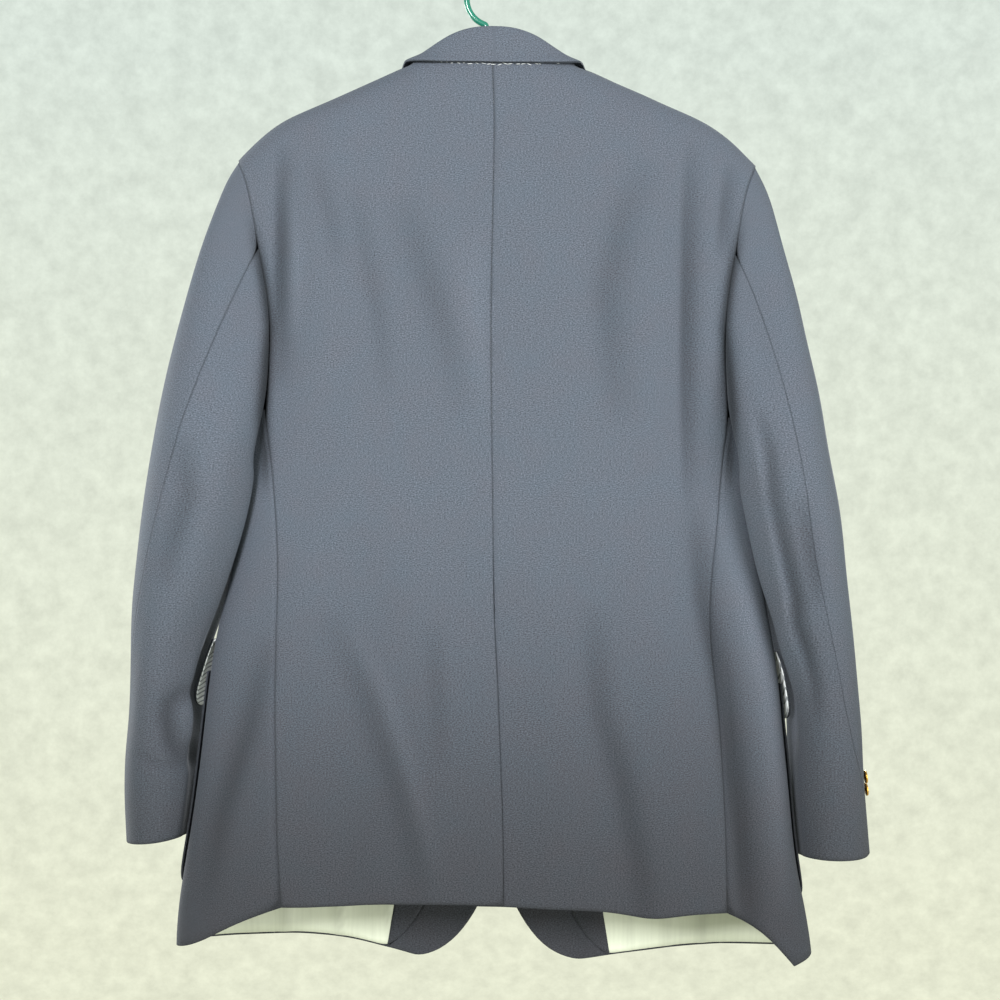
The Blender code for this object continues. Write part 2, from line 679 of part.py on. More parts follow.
def strip(name, side, rows):
    """A wall from rows of points on the strip's own face that looks at the panel, thickened away from it."""
    count, width = len(rows), len(rows[0])
    thick = []
    for j, line in enumerate(rows):
        moved = []
        for i, point in enumerate(line):
            along = rows[min(j + 1, count - 1)][i] - rows[max(j - 1, 0)][i]
            across = line[min(i + 1, width - 1)] - line[max(i - 1, 0)]
            moved.append(point + WALL * across.cross(along).normalized())
        thick.append(moved)
    return wall(name, thick, rows, side, "wool")


def wrap(side, face, x, z, returned, gap=REST_GAP):
    """The strip's first points, inside the panel: its return, and the panel's edge."""
    inside = -(WALL + REST_GAP)
    return [
        on_skin(side, face, *returned, -(WALL + gap))[0],
        on_skin(side, face, x, z, inside)[0],
    ]


def lapel(side):
    rows = []
    for row in range(LAPEL_LAST_ROW, GORGE_ROW - 1, -1):
        x, z = front_edge(row)
        z += LAYER_GAP if row == LAPEL_LAST_ROW else -SEAM_GAP if row == GORGE_ROW else 0
        edge_x, edge_z = read(LAPEL_EDGE, "edge_x", z), read(LAPEL_EDGE, "edge_z", z)
        top = 1.0 if row == GORGE_ROW else 0.35 if row == GORGE_ROW + 1 else 0.0
        lift = LAPEL_LIFT * smooth_step((z - LAPEL_LIFT_Z[0]) / (LAPEL_LIFT_Z[1] - LAPEL_LIFT_Z[0]))
        line = wrap(side, "front", x, z, (x + LAPEL_RETURN, z))
        line.append(on_skin(side, "front", x - REST_GAP - 0.0002, z, -WALL / 2)[0])
        for share in LAPEL_SHARES:
            notch = share / NOTCH_SHARE if share < NOTCH_SHARE else (1 - share) / (1 - NOTCH_SHARE)
            out = REST_GAP + 0.0003 + lift * math.exp(-share * (edge_x - x) / 0.018)
            at_z = blend(z, edge_z, share) - top * NOTCH_SAG * notch
            line.append(on_skin(side, "front", blend(x, edge_x, share), at_z, out)[0])
        rows.append(line)
    strip(f"lapel_{side}", side, rows)


def collar_line(side, station):
    """The collar's section at a station: 0 at the centre back, 1 at the shoulder, then on to the gorge's row."""
    stand = read(COLLAR_STAND, "height", station, key="station")
    if station <= 1:
        x, z, face = neck_x(station * NECK_COLUMNS), NECK_Z, "back"
        side_share = smooth_step((station - 0.45) / 0.55)
        way = Vector((-0.9 * side_share, 0.0, 1 - 0.55 * side_share))
        below = read(COLLAR_EDGE, "below", min(station, 1.0), key="station")
        edge = (x - way.x * below, z - way.z * below)
        if station > 0.99:
            edge = (COLLAR_EDGE["x"][0], ridge_z(side, COLLAR_EDGE["x"][0]))
        returned = (x - way.x * COLLAR_RETURN, z - way.z * COLLAR_RETURN)
    else:
        row = round(station - 1)
        x, z = front_edge(row)
        face = "front"
        if row == GORGE_ROW:
            z += SEAM_GAP
        way = Vector((-0.95, 0.0, 0.30))
        edge = (COLLAR_EDGE["x"][row], COLLAR_EDGE["z"][row])
        returned = (x + COLLAR_RETURN, z)
    flare = COLLAR_FLARE * (1 - 0.7 * smooth_step((station - 1.5) / 3)) if station > 1 else COLLAR_FLARE
    inside = -(WALL + REST_GAP)

    def raised(height, out):
        return on_skin(side, face, x, z, out)[0] + way * height

    line = wrap(side, face, x, z, returned, COLLAR_RETURN_GAP)
    line += [
        raised(stand * 0.5, inside),
        raised(stand * 0.92, inside + 0.0004),
        raised(stand + 0.0014, -WALL / 2),
        raised(stand * 0.92, REST_GAP),
        raised(stand * 0.5, REST_GAP + flare * 0.45),
    ]
    for share in (0.0, 0.5, 1.0):
        at_x, at_z = blend(x, edge[0], share), blend(z, edge[1], share)
        line.append(on_skin(side, face, at_x, at_z, REST_GAP + flare * (0.8 + 0.2 * share))[0])
    return line


def collar():
    half = [k / NECK_COLUMNS for k in range(NECK_COLUMNS + 1)]
    half += [1 + k for k in range(1, GORGE_ROW + 1)]
    rows = []
    for station in reversed(half):
        rows.append(collar_line("left", station))
    for station in half[1:]:
        rows.append([Vector((-p.x, p.y, p.z)) for p in collar_line("right", station)])
    strip("collar", "left", rows)


# Sleeves


def armhole(side):
    """The armhole's edge as (point, normal), from the shoulder down the back, under the arm and up the front."""
    loop = [on_skin(side, "back", *shoulder_point(side, 1))]
    for row in range(1, ARM_ROWS + 1):
        x, z = back_outer(side, row)
        loop.append(on_skin(side, "back", x, z))
    loop += side_rows(side)[0][1:-1]
    for row in range(ARM_ROWS, 0, -1):
        x, z = front_outer(side, row)
        loop.append(on_skin(side, "front", x, z))
    loop[0] = (Vector((loop[0][0].x, 0.0, loop[0][0].z)), loop[0][1])
    return loop


def ring_turn(side, column, columns, z):
    """The angle round a hanging ring of a column: 0 outwards, 90 back, 180 inwards, 270 front."""
    seam = read(SLEEVES, f"seam_{side}", z)
    shoulder = min(0.0, seam - 48)
    places = (0, BACK_SEAM, ARM_ROWS, columns // 2, columns - ARM_ROWS, FRONT_SEAM, columns)
    turns = (shoulder, seam, 142, 178, 216, 248 + 0.3 * shoulder, 360 + shoulder)
    k = next(k for k in range(6) if column <= places[k + 1])
    return blend(turns[k], turns[k + 1], (column - places[k]) / (places[k + 1] - places[k]))


def push_out(side, point, clearance):
    """Moves a sleeve's point out of the body's skin, away from a centre inside it."""
    front = smooth_step((0.012 - point.y) / 0.014)
    off = blend(SLEEVE_CLEARANCE, read(SLEEVE_STAND_OFF, "stand_off", point.z), front) * clearance
    width = read(BODY, side, point.z) + off
    depth = depth_of("back" if point.y >= 0 else "front", point.z) + off

    def outside(scale):
        x, y = PUSH_CENTRE_X + (point.x - PUSH_CENTRE_X) * scale, point.y * scale
        return (abs(x) / width) ** SQUARENESS + (abs(y) / depth) ** SQUARENESS - 1

    if outside(1.0) >= 0:
        return point
    low, high = 1.0, 4.0
    for _ in range(24):
        middle = (low + high) / 2
        if outside(middle) < 0:
            low = middle
        else:
            high = middle
    return Vector((PUSH_CENTRE_X + (point.x - PUSH_CENTRE_X) * high, point.y * high, point.z))


def sleeve_fold(side, turn, z):
    total = 0.0
    for its_side, turn_top, z_top, turn_bottom, z_bottom, depth, width in SLEEVE_FOLDS:
        if its_side != side or not z_bottom <= z <= z_top:
            continue
        share = (z_top - z) / (z_top - z_bottom)
        away = (turn - blend(turn_top, turn_bottom, share) + 180) % 360 - 180
        total += depth * smooth_step(min(share, 1 - share) / 0.3) * math.exp(-((away / width) ** 2))
    return total


def hanging_ring(side, level, columns):
    ring = []
    for column in range(columns):
        turn = math.radians(ring_turn(side, column, columns, level))
        across = math.copysign(abs(math.cos(turn)) ** (2 / SLEEVE_SQUARENESS), math.cos(turn))
        back = math.copysign(abs(math.sin(turn)) ** (2 / SLEEVE_SQUARENESS), math.sin(turn))
        tilt = read(SLEEVES, f"tilt_{side}", level)
        half = (read(SLEEVES, f"outer_{side}", level) - read(SLEEVES, f"inner_{side}", level)) / 2
        z = level + tilt * half * across
        outer, inner = read(SLEEVES, f"outer_{side}", z), read(SLEEVES, f"inner_{side}", z)
        fold = sleeve_fold(side, math.degrees(turn) % 360, z)
        ring.append(Vector((
            (outer + inner) / 2 + across * ((outer - inner) / 2 - fold),
            read(SLEEVES, "centre_y", z) + back * (read(SLEEVES, "half_depth", z) - fold),
            z,
        )))
    return ring


def sleeve_start(side):
    """Ring 0 of the sleeve: points just off the armhole, the way the cloth leaves it, and the way its wall goes."""
    loop = armhole(side)
    count = len(loop)
    start = []
    for k, (point, normal) in enumerate(loop):
        along = (loop[(k + 1) % count][0] - loop[k - 1][0]).normalized()
        out = along.cross(normal).normalized()
        normal = out.cross(along).normalized()
        angle = UNDER_TURN * smooth_step((UNDER_TOP_Z - point.z) / (UNDER_TOP_Z - ARMPIT_Z))
        leave = math.cos(angle) * out + math.sin(angle) * normal
        inward = math.cos(angle) * -normal + math.sin(angle) * out
        start.append((point + SEAM_GAP * 1.2 * out, leave, inward))
    return start


def sleeve_rings(side):
    """(rings, inward): the whole sleeve's outer points, ring by ring, and the wall's direction at ring 0."""
    start = sleeve_start(side)
    count = len(start)
    first = hanging_ring(side, FIRST_RING_Z, count)
    second = hanging_ring(side, FIRST_RING_Z - 0.01, count)
    rings = [[point for point, _, _ in start]]
    for ring in range(1, HEAD_RINGS):
        t = ring / HEAD_RINGS
        t = t**1.15
        line = []
        for (point, leave, _), end, after in zip(start, first, second):
            reach = (end - point).length
            drop = (after - end).normalized()
            leave = (leave + Vector((0.0, 0.0, -read(SLEEVE_DROOP, side, point.z)))).normalized()
            placed = (
                (2 * t**3 - 3 * t**2 + 1) * point + (t**3 - 2 * t**2 + t) * leave * reach * SLEEVE_LEAVE[side]
                + (3 * t**2 - 2 * t**3) * end + (t**3 - t**2) * drop * reach * SLEEVE_ARRIVE[side]
            )
            line.append(push_out(side, placed, min(1.0, ring / 2)))
        rings.append(line)
    for ring in range(ARM_RINGS + 1):
        level = blend(FIRST_RING_Z, CUFF_Z[side], ring / ARM_RINGS)
        rings.append([push_out(side, point, 1.0) for point in hanging_ring(side, level, count)])
    return rings, [inward for _, _, inward in start]


def tube_normals(rings):
    count = len(rings[0])
    normals = []
    for j, ring in enumerate(rings):
        line = []
        for i in range(count):
            round_ = ring[(i + 1) % count] - ring[i - 1]
            down = rings[min(j + 1, len(rings) - 1)][i] - rings[max(j - 1, 0)][i]
            line.append(down.cross(round_).normalized())
        normals.append(line)
    centre = sum(rings[-1], Vector()) / count
    if (rings[-1][0] - centre).dot(normals[-1][0]) < 0:
        normals = [[-normal for normal in line] for line in normals]
    return normals


def sleeve(side):
    rings, inward = sleeve_rings(side)
    count = len(rings[0])
    normals = tube_normals(rings)
    inner = [
        [point - WALL * normal for point, normal in zip(ring, line)]
        for ring, line in zip(rings, normals)
    ]
    inner[0] = [point + WALL * way for point, way in zip(rings[0], inward)]
    spans = {
        "under": range(BACK_SEAM, FRONT_SEAM + 1),
        "top": range(FRONT_SEAM, count + BACK_SEAM + 1),
    }
    for name, span in spans.items():
        outer_rows, inner_rows = [], []
        for ring, inside in zip(rings, inner):
            outside = [ring[i % count].copy() for i in span]
            within = [inside[i % count].copy() for i in span]
            for end, neighbour in ((0, 1), (-1, -2)):
                shift = (outside[neighbour] - outside[end]).normalized() * HALF_GAP * 1.3
                outside[end] += shift
                within[end] += shift
            outer_rows.append(outside)
            inner_rows.append(within)
        wall(f"sleeve_{name}_{side}", outer_rows, inner_rows, side, "wool")
    return rings, normals


# Pockets and flaps, laid on the panels


def patch_rows(side, rear_turn, front_x, top_z, bottom_z, corner, columns, rows, out_of):
    """Points of a patch with rounded lower corners, from its rear edge to its front edge."""
    middle_z = (top_z + bottom_z) / 2
    front_turn = 180 - turn_of(side, front_x, middle_z)
    width = read(BODY, side, middle_z) - front_x
    placed = []
    for row in range(rows + 1):
        down = row / rows
        line = []
        for column in range(columns + 1):
            share = 0.5 - 0.5 * math.cos(math.pi * blend(0.06, 0.94, column / columns))
            share = (share - 0.0089) / (1 - 2 * 0.0089)
            to_end = min(share, 1 - share) * width
            rise = corner - math.sqrt(max(corner**2 - max(corner - to_end, 0) ** 2, 0))
            z = blend(top_z, bottom_z + rise, down)
            turn = blend(rear_turn, front_turn, share)
            line.append(at_turn(side, turn, z, out_of(share, down)))
        placed.append(line)
    return placed


def pocket(side):
    def out_of(share, down):
        bulge = 0.0035 * math.sin(math.pi * down) * math.sin(math.pi * min(share * 1.3, 1.0))
        return POCKET_GAP + WALL + bulge

    rows = patch_rows(
        side, POCKET_REAR_TURN, POCKET_FRONT_X, POCKET_TOP_Z, POCKET_BOTTOM_Z,
        POCKET_CORNER, POCKET_COLUMNS, POCKET_ROWS, out_of,
    )
    wall(f"pocket_{side}", *layers(rows, WALL), side, "wool")


def flap(side):
    stack = REST_GAP + FLAP_LINING_WALL + REST_GAP + WALL

    def out_of(share, down):
        stand = blend(FLAP_REAR_STAND[side], FLAP_FRONT_STAND, smooth_step(share * 1.5))
        return stack + max(stand * down**1.1, 0.0052 * smooth_step(down * 2.2))

    def rows_inside(out):
        return patch_rows(
            side, FLAP_REAR_TURN, FLAP_FRONT_X, FLAP_TOP_Z, FLAP_BOTTOM_Z,
            FLAP_CORNER, FLAP_COLUMNS, FLAP_ROWS, out,
        )

    wall(f"flap_{side}", *layers(rows_inside(out_of), WALL), side, "wool")
    behind = WALL + REST_GAP
    wall(
        f"flap_lining_{side}",
        *layers(rows_inside(lambda share, down: out_of(share, down) - behind), FLAP_LINING_WALL),
        side, "flap_lining",
    )


# Buttons


def button_mesh(name, radius):
    """A domed metal button with a rolled rim on a short shank, turned round its axis."""
    profile = (
        # share of the radius, height above the seat as a share of the radius
        (0.0, 0.62), (0.40, 0.58), (0.74, 0.46), (0.94, 0.34), (1.0, 0.25), (0.93, 0.17),
        (0.30, 0.16), (0.26, 0.0), (0.0, 0.0),
    )
    outline = bmesh.new()
    verts = [outline.verts.new((across * radius, 0, up * radius)) for across, up in profile]
    for first, second in zip(verts, verts[1:]):
        outline.edges.new((first, second))
    piece = finish(name, outline, "brass")
    screw = piece.modifiers.new("turn", "SCREW")
    screw.axis = "Z"
    screw.steps = screw.render_steps = BUTTON_STEPS
    screw.use_merge_vertices = True
    screw.merge_threshold = 0.00001
    screw.use_normal_calculate = True
    return piece


def button(name, radius, point, normal):
    piece = button_mesh(name, radius)
    piece.location = lean(point + BUTTON_SEAT * normal)
    piece.rotation_euler = normal.to_track_quat("Z", "Y").to_euler()


def front_buttons():
    for level, z in FRONT_BUTTON_LEVELS.items():
        point, normal = on_skin("left", "front", 0.0, z)
        button(f"button_front_{level}", FRONT_BUTTON_RADIUS, point, normal)


def cuff_buttons(side, rings, normals):
    flip = -1 if side == "right" else 1
    for level, z in CUFF_BUTTON_LEVELS.items():
        k = next(k for k in range(HEAD_RINGS, len(rings)) if rings[k][BACK_SEAM].z <= z)
        share = (z - rings[k - 1][BACK_SEAM].z) / (rings[k][BACK_SEAM].z - rings[k - 1][BACK_SEAM].z)
        column = BACK_SEAM - math.floor(CUFF_BUTTON_COLUMNS[side])
        across = CUFF_BUTTON_COLUMNS[side] % 1
        near = rings[k - 1][column].lerp(rings[k][column], share)
        far = rings[k - 1][column - 1].lerp(rings[k][column - 1], share)
        point = near.lerp(far, across)
        normal = normals[k][column].lerp(normals[k][column - 1], across).normalized()
        button(
            f"button_cuff_{side}_{level}", CUFF_BUTTON_RADIUS,
            Vector((flip * point.x, point.y, point.z)), Vector((flip * normal.x, normal.y, normal.z)),
        )


# Hanger


def rod(name, points, radius, closed):
    """A round rod along points, as a closed mesh."""
    curve = bpy.data.curves.new(name, "CURVE")
    curve.dimensions = "3D"
    spline = curve.splines.new("POLY")
    spline.points.add(len(points) - 1)
    for spot, point in zip(spline.points, points):
        spot.co = (*lean(Vector(point)), 1)
    spline.use_cyclic_u = closed
    curve.bevel_depth = radius
    curve.bevel_resolution = 2
    curve.use_fill_caps = True
    line = bpy.data.objects.new(name, curve)
    COLLECTION.objects.link(line)
    graph = bpy.context.evaluated_depsgraph_get()
    mesh = bpy.data.meshes.new_from_object(line.evaluated_get(graph))
    body = bmesh.new()
    body.from_mesh(mesh)
    bmesh.ops.remove_doubles(body, verts=body.verts[:], dist=0.00001)
    bmesh.ops.recalc_face_normals(body, faces=body.faces[:])
    bpy.data.objects.remove(line)
    return finish(name, body, "green_plastic")


def arc(centre_x, centre_z, radius, start, end, steps):
    return [
        (
            centre_x + radius * math.cos(math.radians(blend(start, end, k / steps))),
            0.0,
            centre_z + radius * math.sin(math.radians(blend(start, end, k / steps))),
        )
        for k in range(steps + 1)
    ]


def hook_line():
    """The hook from its tip over the rail and down its stem, which bends back to the middle."""
    hook = arc(0.0, HOOK_ROD - HOOK_RADIUS, HOOK_RADIUS, HOOK_TIP_DEGREES, HOOK_FOOT_DEGREES, 26)
    foot_x, _, foot_z = hook[-1]
    for step in range(1, 8):
        share = step / 7
        hook.append((foot_x * (1 - smooth_step(share)), 0.0, blend(foot_z, STEM_BOTTOM_Z, share)))
    return hook


def hanger_line():
    """The arms and the bar, as one loop that follows the shoulders' ridge at a tube's distance."""
    slope = math.atan2(ridge_z("left", ROLL_TOP_X + 0.01) - ridge_z("left", ARM_END_X), ARM_END_X - ROLL_TOP_X - 0.01)
    drop = (WALL + SEAM_GAP + ARM_ROD) / math.cos(slope)

    def arm_z(x):
        return ridge_z("left", x) - drop - COLLAR_ROOM * (1 - smooth_step((x - ROLL_TOP_X - 0.008) / 0.020))

    right_half = []
    for step in range(4):
        x = ROLL_TOP_X * step / 4
        right_half.append((x, 0.0, arm_z(ROLL_TOP_X) + (ROLL_TOP_X - x) * CROWN_SLOPE))
    bend_x = ARM_END_X - HANGER_BEND
    for step in range(9):
        x = blend(ROLL_TOP_X, bend_x, step / 8)
        right_half.append((x, 0.0, arm_z(x)))
    centre_x = bend_x - HANGER_BEND * math.sin(slope)
    centre_z = right_half[-1][2] - HANGER_BEND * math.cos(slope)
    for step in range(1, 6):
        turn = blend(slope, math.pi, step / 5)
        right_half.append((centre_x + HANGER_BEND * math.sin(turn), 0.0, centre_z + HANGER_BEND * math.cos(turn)))
    bar_z = right_half[-1][2]
    right_half += [(x, 0.0, bar_z) for x in (0.13, 0.06)]
    return right_half + [(0.0, 0.0, bar_z)] + [(-x, y, z) for x, y, z in reversed(right_half[1:])]


def hanger():
    """One moulding: a hook and its stem, two sloping arms with rounded ends, and a bar between them."""
    hook = rod("hook", hook_line(), HOOK_ROD, False)
    frame = rod("hanger", hanger_line(), ARM_ROD, True)
    join = frame.modifiers.new("join hook", "BOOLEAN")
    join.operation = "UNION"
    join.object = hook
    hook.hide_render = True
    hook.display_type = "WIRE"
    COLLECTION.objects.unlink(hook)
    CUTTERS.objects.link(hook)


# Scene


def clear_scene():
    for item in list(bpy.data.objects):
        bpy.data.objects.remove(item)


def make_material(name):
    colour, roughness, metallic = COLOURS[name]
    material = bpy.data.materials.new(name)
    material.use_nodes = True
    shader = material.node_tree.nodes["Principled BSDF"]
    shader.inputs["Base Color"].default_value = (*colour, 1.0)
    shader.inputs["Roughness"].default_value = roughness
    shader.inputs["Metallic"].default_value = metallic
    material.diffuse_color = (*colour, 1.0)
    return material


def make_collection(name):
    made = bpy.data.collections.new(name)
    bpy.context.scene.collection.children.link(made)
    return made


clear_scene()
COLLECTION = make_collection("blazer")
CUTTERS = make_collection("cutters")
MATERIALS = {name: make_material(name) for name in COLOURS}

for garment_side in ("left", "right"):
    back_panel(garment_side)
    side_panel(garment_side)
    front_panel(garment_side)
    facing(garment_side)
    lining(garment_side)
    lapel(garment_side)
    cuff_buttons(garment_side, *sleeve(garment_side))
    pocket(garment_side)
    flap(garment_side)
collar()
front_buttons()
hanger()
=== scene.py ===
"""The looks of a tailored wool blazer on a plain plastic hanger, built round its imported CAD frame.

Metres, +Z up, in the frame's own place: the origin is the underside of the hook's top, the fronts face -Y and the
garment's own left is +X. Each cloth piece is a fine copy of its CAD solid, with the folds of FOLDS pressed into it.
"""

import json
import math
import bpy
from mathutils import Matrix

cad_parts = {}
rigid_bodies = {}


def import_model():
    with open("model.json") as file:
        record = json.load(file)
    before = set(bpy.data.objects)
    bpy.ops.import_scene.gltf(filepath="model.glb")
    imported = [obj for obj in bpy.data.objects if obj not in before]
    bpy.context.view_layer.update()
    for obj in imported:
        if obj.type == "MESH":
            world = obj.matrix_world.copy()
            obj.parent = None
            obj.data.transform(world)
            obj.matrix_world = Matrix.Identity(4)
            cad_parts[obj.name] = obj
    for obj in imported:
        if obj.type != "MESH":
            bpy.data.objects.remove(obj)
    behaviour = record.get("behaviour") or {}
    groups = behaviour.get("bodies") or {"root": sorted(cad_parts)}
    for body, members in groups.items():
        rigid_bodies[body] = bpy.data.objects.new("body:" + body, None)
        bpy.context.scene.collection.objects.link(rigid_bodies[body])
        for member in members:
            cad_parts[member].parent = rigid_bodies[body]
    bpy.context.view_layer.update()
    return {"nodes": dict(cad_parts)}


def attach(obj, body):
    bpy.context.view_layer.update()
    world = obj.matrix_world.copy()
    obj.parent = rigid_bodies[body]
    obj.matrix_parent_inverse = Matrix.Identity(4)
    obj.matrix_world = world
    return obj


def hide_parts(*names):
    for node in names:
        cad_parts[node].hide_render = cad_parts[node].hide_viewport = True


bl_info = {
    "name": "Blazer on a hanger",
    "version": (1, 0, 0),
    "blender": (4, 5, 0),
    "location": "3D View > Sidebar > Blazer",
    "description": "Dresses the packed blazer in wool cloth, lining, brass buttons and a green hanger",
    "category": "Object",
}

import bmesh
import bpy
import numpy as np
from mathutils import Matrix, Vector
from mathutils.bvhtree import BVHTree

for item in list(bpy.data.objects):
    bpy.data.objects.remove(item)
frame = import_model()

SIDES = ("left", "right")
WALL = 0.0016  # the thickest cloth's
WELD = 0.00002  # points of a CAD mesh that lie closer are one
RIM_ANGLE = math.radians(60)  # sharper edges of a solid are its cloth's cut edges
THICKNESS_EDGE = 1.3 * WALL  # shorter edges of a solid run across its cloth's thickness

# Tubes of cloth: the middle line that their folds sink towards, and their half sizes
TUBES = {
    "body": {
        "z": (-0.08, -0.18, -0.42, -0.60, -0.95),
        "x": (-0.001, -0.0037, -0.0037, -0.0037, -0.0037),
        "y": (0.0, 0.0, 0.0, 0.0, 0.0),
        "half_x": (0.090, 0.250, 0.256, 0.262, 0.300),
        "half_y": (0.034, 0.044, 0.050, 0.046, 0.052),
    },
    "sleeve_left": {
        "z": (-0.18, -0.30, -0.452, -0.55, -0.65, -0.83),
        "x": (0.235, 0.235, 0.266, 0.285, 0.308, 0.320),
        "y": (0.002, 0.002, 0.000, -0.006, -0.015, -0.035),
        "half_x": (0.030, 0.050, 0.056, 0.052, 0.036, 0.033),
        "half_y": (0.050, 0.060, 0.068, 0.064, 0.058, 0.055),
    },
    "sleeve_right": {
        "z": (-0.18, -0.30, -0.452, -0.55, -0.65, -0.83),
        "x": (-0.235, -0.237, -0.268, -0.286, -0.309, -0.320),
        "y": (0.002, 0.002, 0.000, -0.006, -0.015, -0.035),
        "half_x": (0.030, 0.048, 0.052, 0.048, 0.036, 0.036),
        "half_y": (0.050, 0.060, 0.068, 0.064, 0.058, 0.055),
    },
}

# Folds, in millimetres: a soft trough, or with a negative depth a ridge, along a path of (x, z) that
# runs downwards on one face of a tube, or of the lining in it. Both ends fade out, so some paths go on below the hem.
FOLDS = (
    # tube, face, depth, width towards -x, width towards +x, path
    ("body", "back", 5.2, 12, 4.5, ((199, -164), (199, -247), (200, -312), (202, -358), (204, -396))),
    ("body", "back", -2.3, 8, 8, ((191, -192), (185, -266), (187, -348))),
    ("body", "back", 2.2, 16, 16, ((86, -210), (63, -284), (41, -348), (26, -426))),
    ("body", "back", 1.6, 10, 9, ((130, -206), (115, -284), (104, -348), (100, -408))),
    ("body", "back", 1.6, 10, 8, ((168, -178), (152, -233), (144, -282))),
    ("body", "back", 2.5, 18, 14, ((-144, -178), (-119, -233), (-104, -302), (-109, -367), (-117, -431))),
    ("body", "back", 5.1, 11, 5, ((-183, -160), (-180, -238), (-179, -312), (-179, -404), (-181, -509))),
    ("body", "back", 7.2, 14, 10, (
        (-185, -500), (-196, -588), (-212, -661), (-223, -735), (-232, -818), (-243, -946),
    )),
    ("body", "back", 3.3, 9, 5, ((-221, -181), (-216, -220), (-211, -273))),
    ("body", "back", 2.5, 14, 14, ((155, -597), (118, -680), (93, -753), (74, -818), (64, -886))),
    ("body", "back", 1.6, 10, 10, ((58, -606), (52, -680), (49, -748))),
    ("body", "back", 3.3, 14, 12, ((-89, -588), (-98, -689), (-119, -758), (-132, -827), (-143, -919))),
    ("body", "back", 4.1, 12, 14, ((207, -620), (230, -712), (255, -790), (273, -882))),
    ("body", "back", -4.3, 12, 12, ((-207, -496), (-235, -588), (-253, -670), (-264, -762), (-271, -882))),
    ("body", "back", -1.4, 10, 25, ((14, -242), (16, -339), (12, -426))),
    ("body", "back", -1.9, 10, 10, ((136, -610), (99, -680), (76, -753), (52, -845))),
    ("sleeve_right", "back", 6.4, 8, 5, (
        (-240, -412), (-249, -450), (-253, -493), (-265, -542), (-276, -588), (-278, -611), (-287, -634),
        (-295, -664), (-301, -704),
    )),
    ("sleeve_right", "back", -2.6, 8, 6, (
        (-228, -403), (-245, -468), (-258, -522), (-270, -582), (-273, -634), (-284, -680),
    )),
    ("sleeve_right", "back", 3.4, 9, 9, ((-278, -491), (-284, -516), (-294, -569), (-298, -597))),
    ("sleeve_left", "back", 3.2, 12, 12, ((284, -435), (279, -493), (296, -542), (305, -579))),
    ("sleeve_left", "back", 4.8, 10, 9, (
        (271, -669), (290, -677), (301, -686), (303, -699), (299, -723), (290, -739), (271, -748),
    )),
    ("sleeve_left", "back", -2.6, 10, 10, ((280, -680), (284, -703), (280, -725))),
    ("sleeve_left", "back", 1.7, 4, 4, ((334, -730), (316, -741), (293, -745))),
    ("body", "front", 3.8, 10, 6, ((186, -170), (180, -260), (172, -350), (160, -420))),
    ("body", "front", 2.6, 12, 12, ((150, -390), (128, -470), (110, -560), (96, -640))),
    ("body", "front", 2.2, 14, 12, ((70, -600), (84, -700), (104, -800), (118, -930))),
    ("body", "front", 3.2, 12, 10, ((214, -620), (222, -700), (232, -780), (238, -900))),
    ("body", "front", 3.5, 7, 10, ((-190, -170), (-184, -250), (-172, -360), (-158, -440))),
    ("body", "front", 2.8, 11, 12, ((-140, -410), (-124, -500), (-112, -570), (-108, -650))),
    ("body", "front", 2.0, 12, 12, ((-56, -620), (-66, -720), (-84, -820), (-94, -940))),
    ("body", "front", 3.8, 10, 12, ((-218, -610), (-228, -700), (-240, -800), (-246, -910))),
    ("sleeve_left", "front", 4.1, 8, 6, ((252, -420), (262, -500), (280, -570), (300, -640), (308, -700))),
    ("sleeve_left", "front", 2.3, 10, 10, ((298, -300), (304, -380), (300, -450))),
    ("sleeve_left", "front", 3.2, 6, 6, ((282, -660), (300, -676), (312, -700), (304, -730))),
    ("sleeve_right", "front", 3.8, 6, 8, ((-250, -430), (-262, -510), (-282, -580), (-300, -650), (-310, -720))),
    ("sleeve_right", "front", 2.2, 10, 10, ((-290, -290), (-300, -370), (-298, -440))),
    ("lining", "front", 3.0, 5, 5, ((-196, -640), (-200, -760), (-203, -960))),
    ("lining", "front", 2.2, 4, 6, ((-168, -640), (-166, -760), (-170, -960))),
    ("lining", "front", 1.6, 5, 4, ((-133, -640), (-136, -780), (-131, -960))),
    ("lining", "front", 3.2, 3, 6, ((149, -640), (147, -780), (150, -960))),
    ("lining", "front", 2.4, 5, 3, ((104, -640), (102, -780), (103, -960))),
    ("lining", "front", 2.6, 6, 5, ((198, -640), (203, -780), (201, -960))),
    ("lining", "front", 1.6, 4, 5, ((228, -640), (232, -780), (236, -960))),
)

# The armholes, as distances from the middle line: the cloth stays in its place there
ARMHOLE = {
    "z": (-0.177, -0.225, -0.298, -0.335, -0.415, -0.440),
    "back": (0.2445, 0.2290, 0.2158, 0.2110, 0.2165, 0.2165),
    "front": (0.2445, 0.2190, 0.1990, 0.1950, 0.2060, 0.2060),
}
HANG_SHIFT = -0.0037  # the body's middle, which hangs a little to its right
BODY_HALF_DEPTH = 0.05
FOLD_REACH = 0.4  # a fold fades in over this share of the tube's half depth, from its side to its face
DEEPEST_FOLD = 0.006  # the fold depth at which its painted shade, or on a ridge its painted highlight, is full
FREE_OF_SEAM = {"body": 0.012, "sleeve": 0.020}  # how far from the armhole the cloth is quite free
ARMHOLE_FOOT = -0.445
ROLL_HEIGHTS = (-0.21, -0.29, -0.45, -0.50)  # where the painted shade of the cloths' roll into the armhole starts, is full, fades and ends
ROLL_WIDTH = 0.006
ROLL_DARKNESS = 1.5  # painted shade at the armhole's roll, in deepest folds
UNEVEN = (0.00050, 0.00030)  # heights of the cloth's slow and quick waves
SEAM_PRESSED = 0.0004  # how far the body's seams are pressed in
SEAM_CLOSE = 0.00014  # how far each cut edge is let out, to close the CAD's gap at the seams

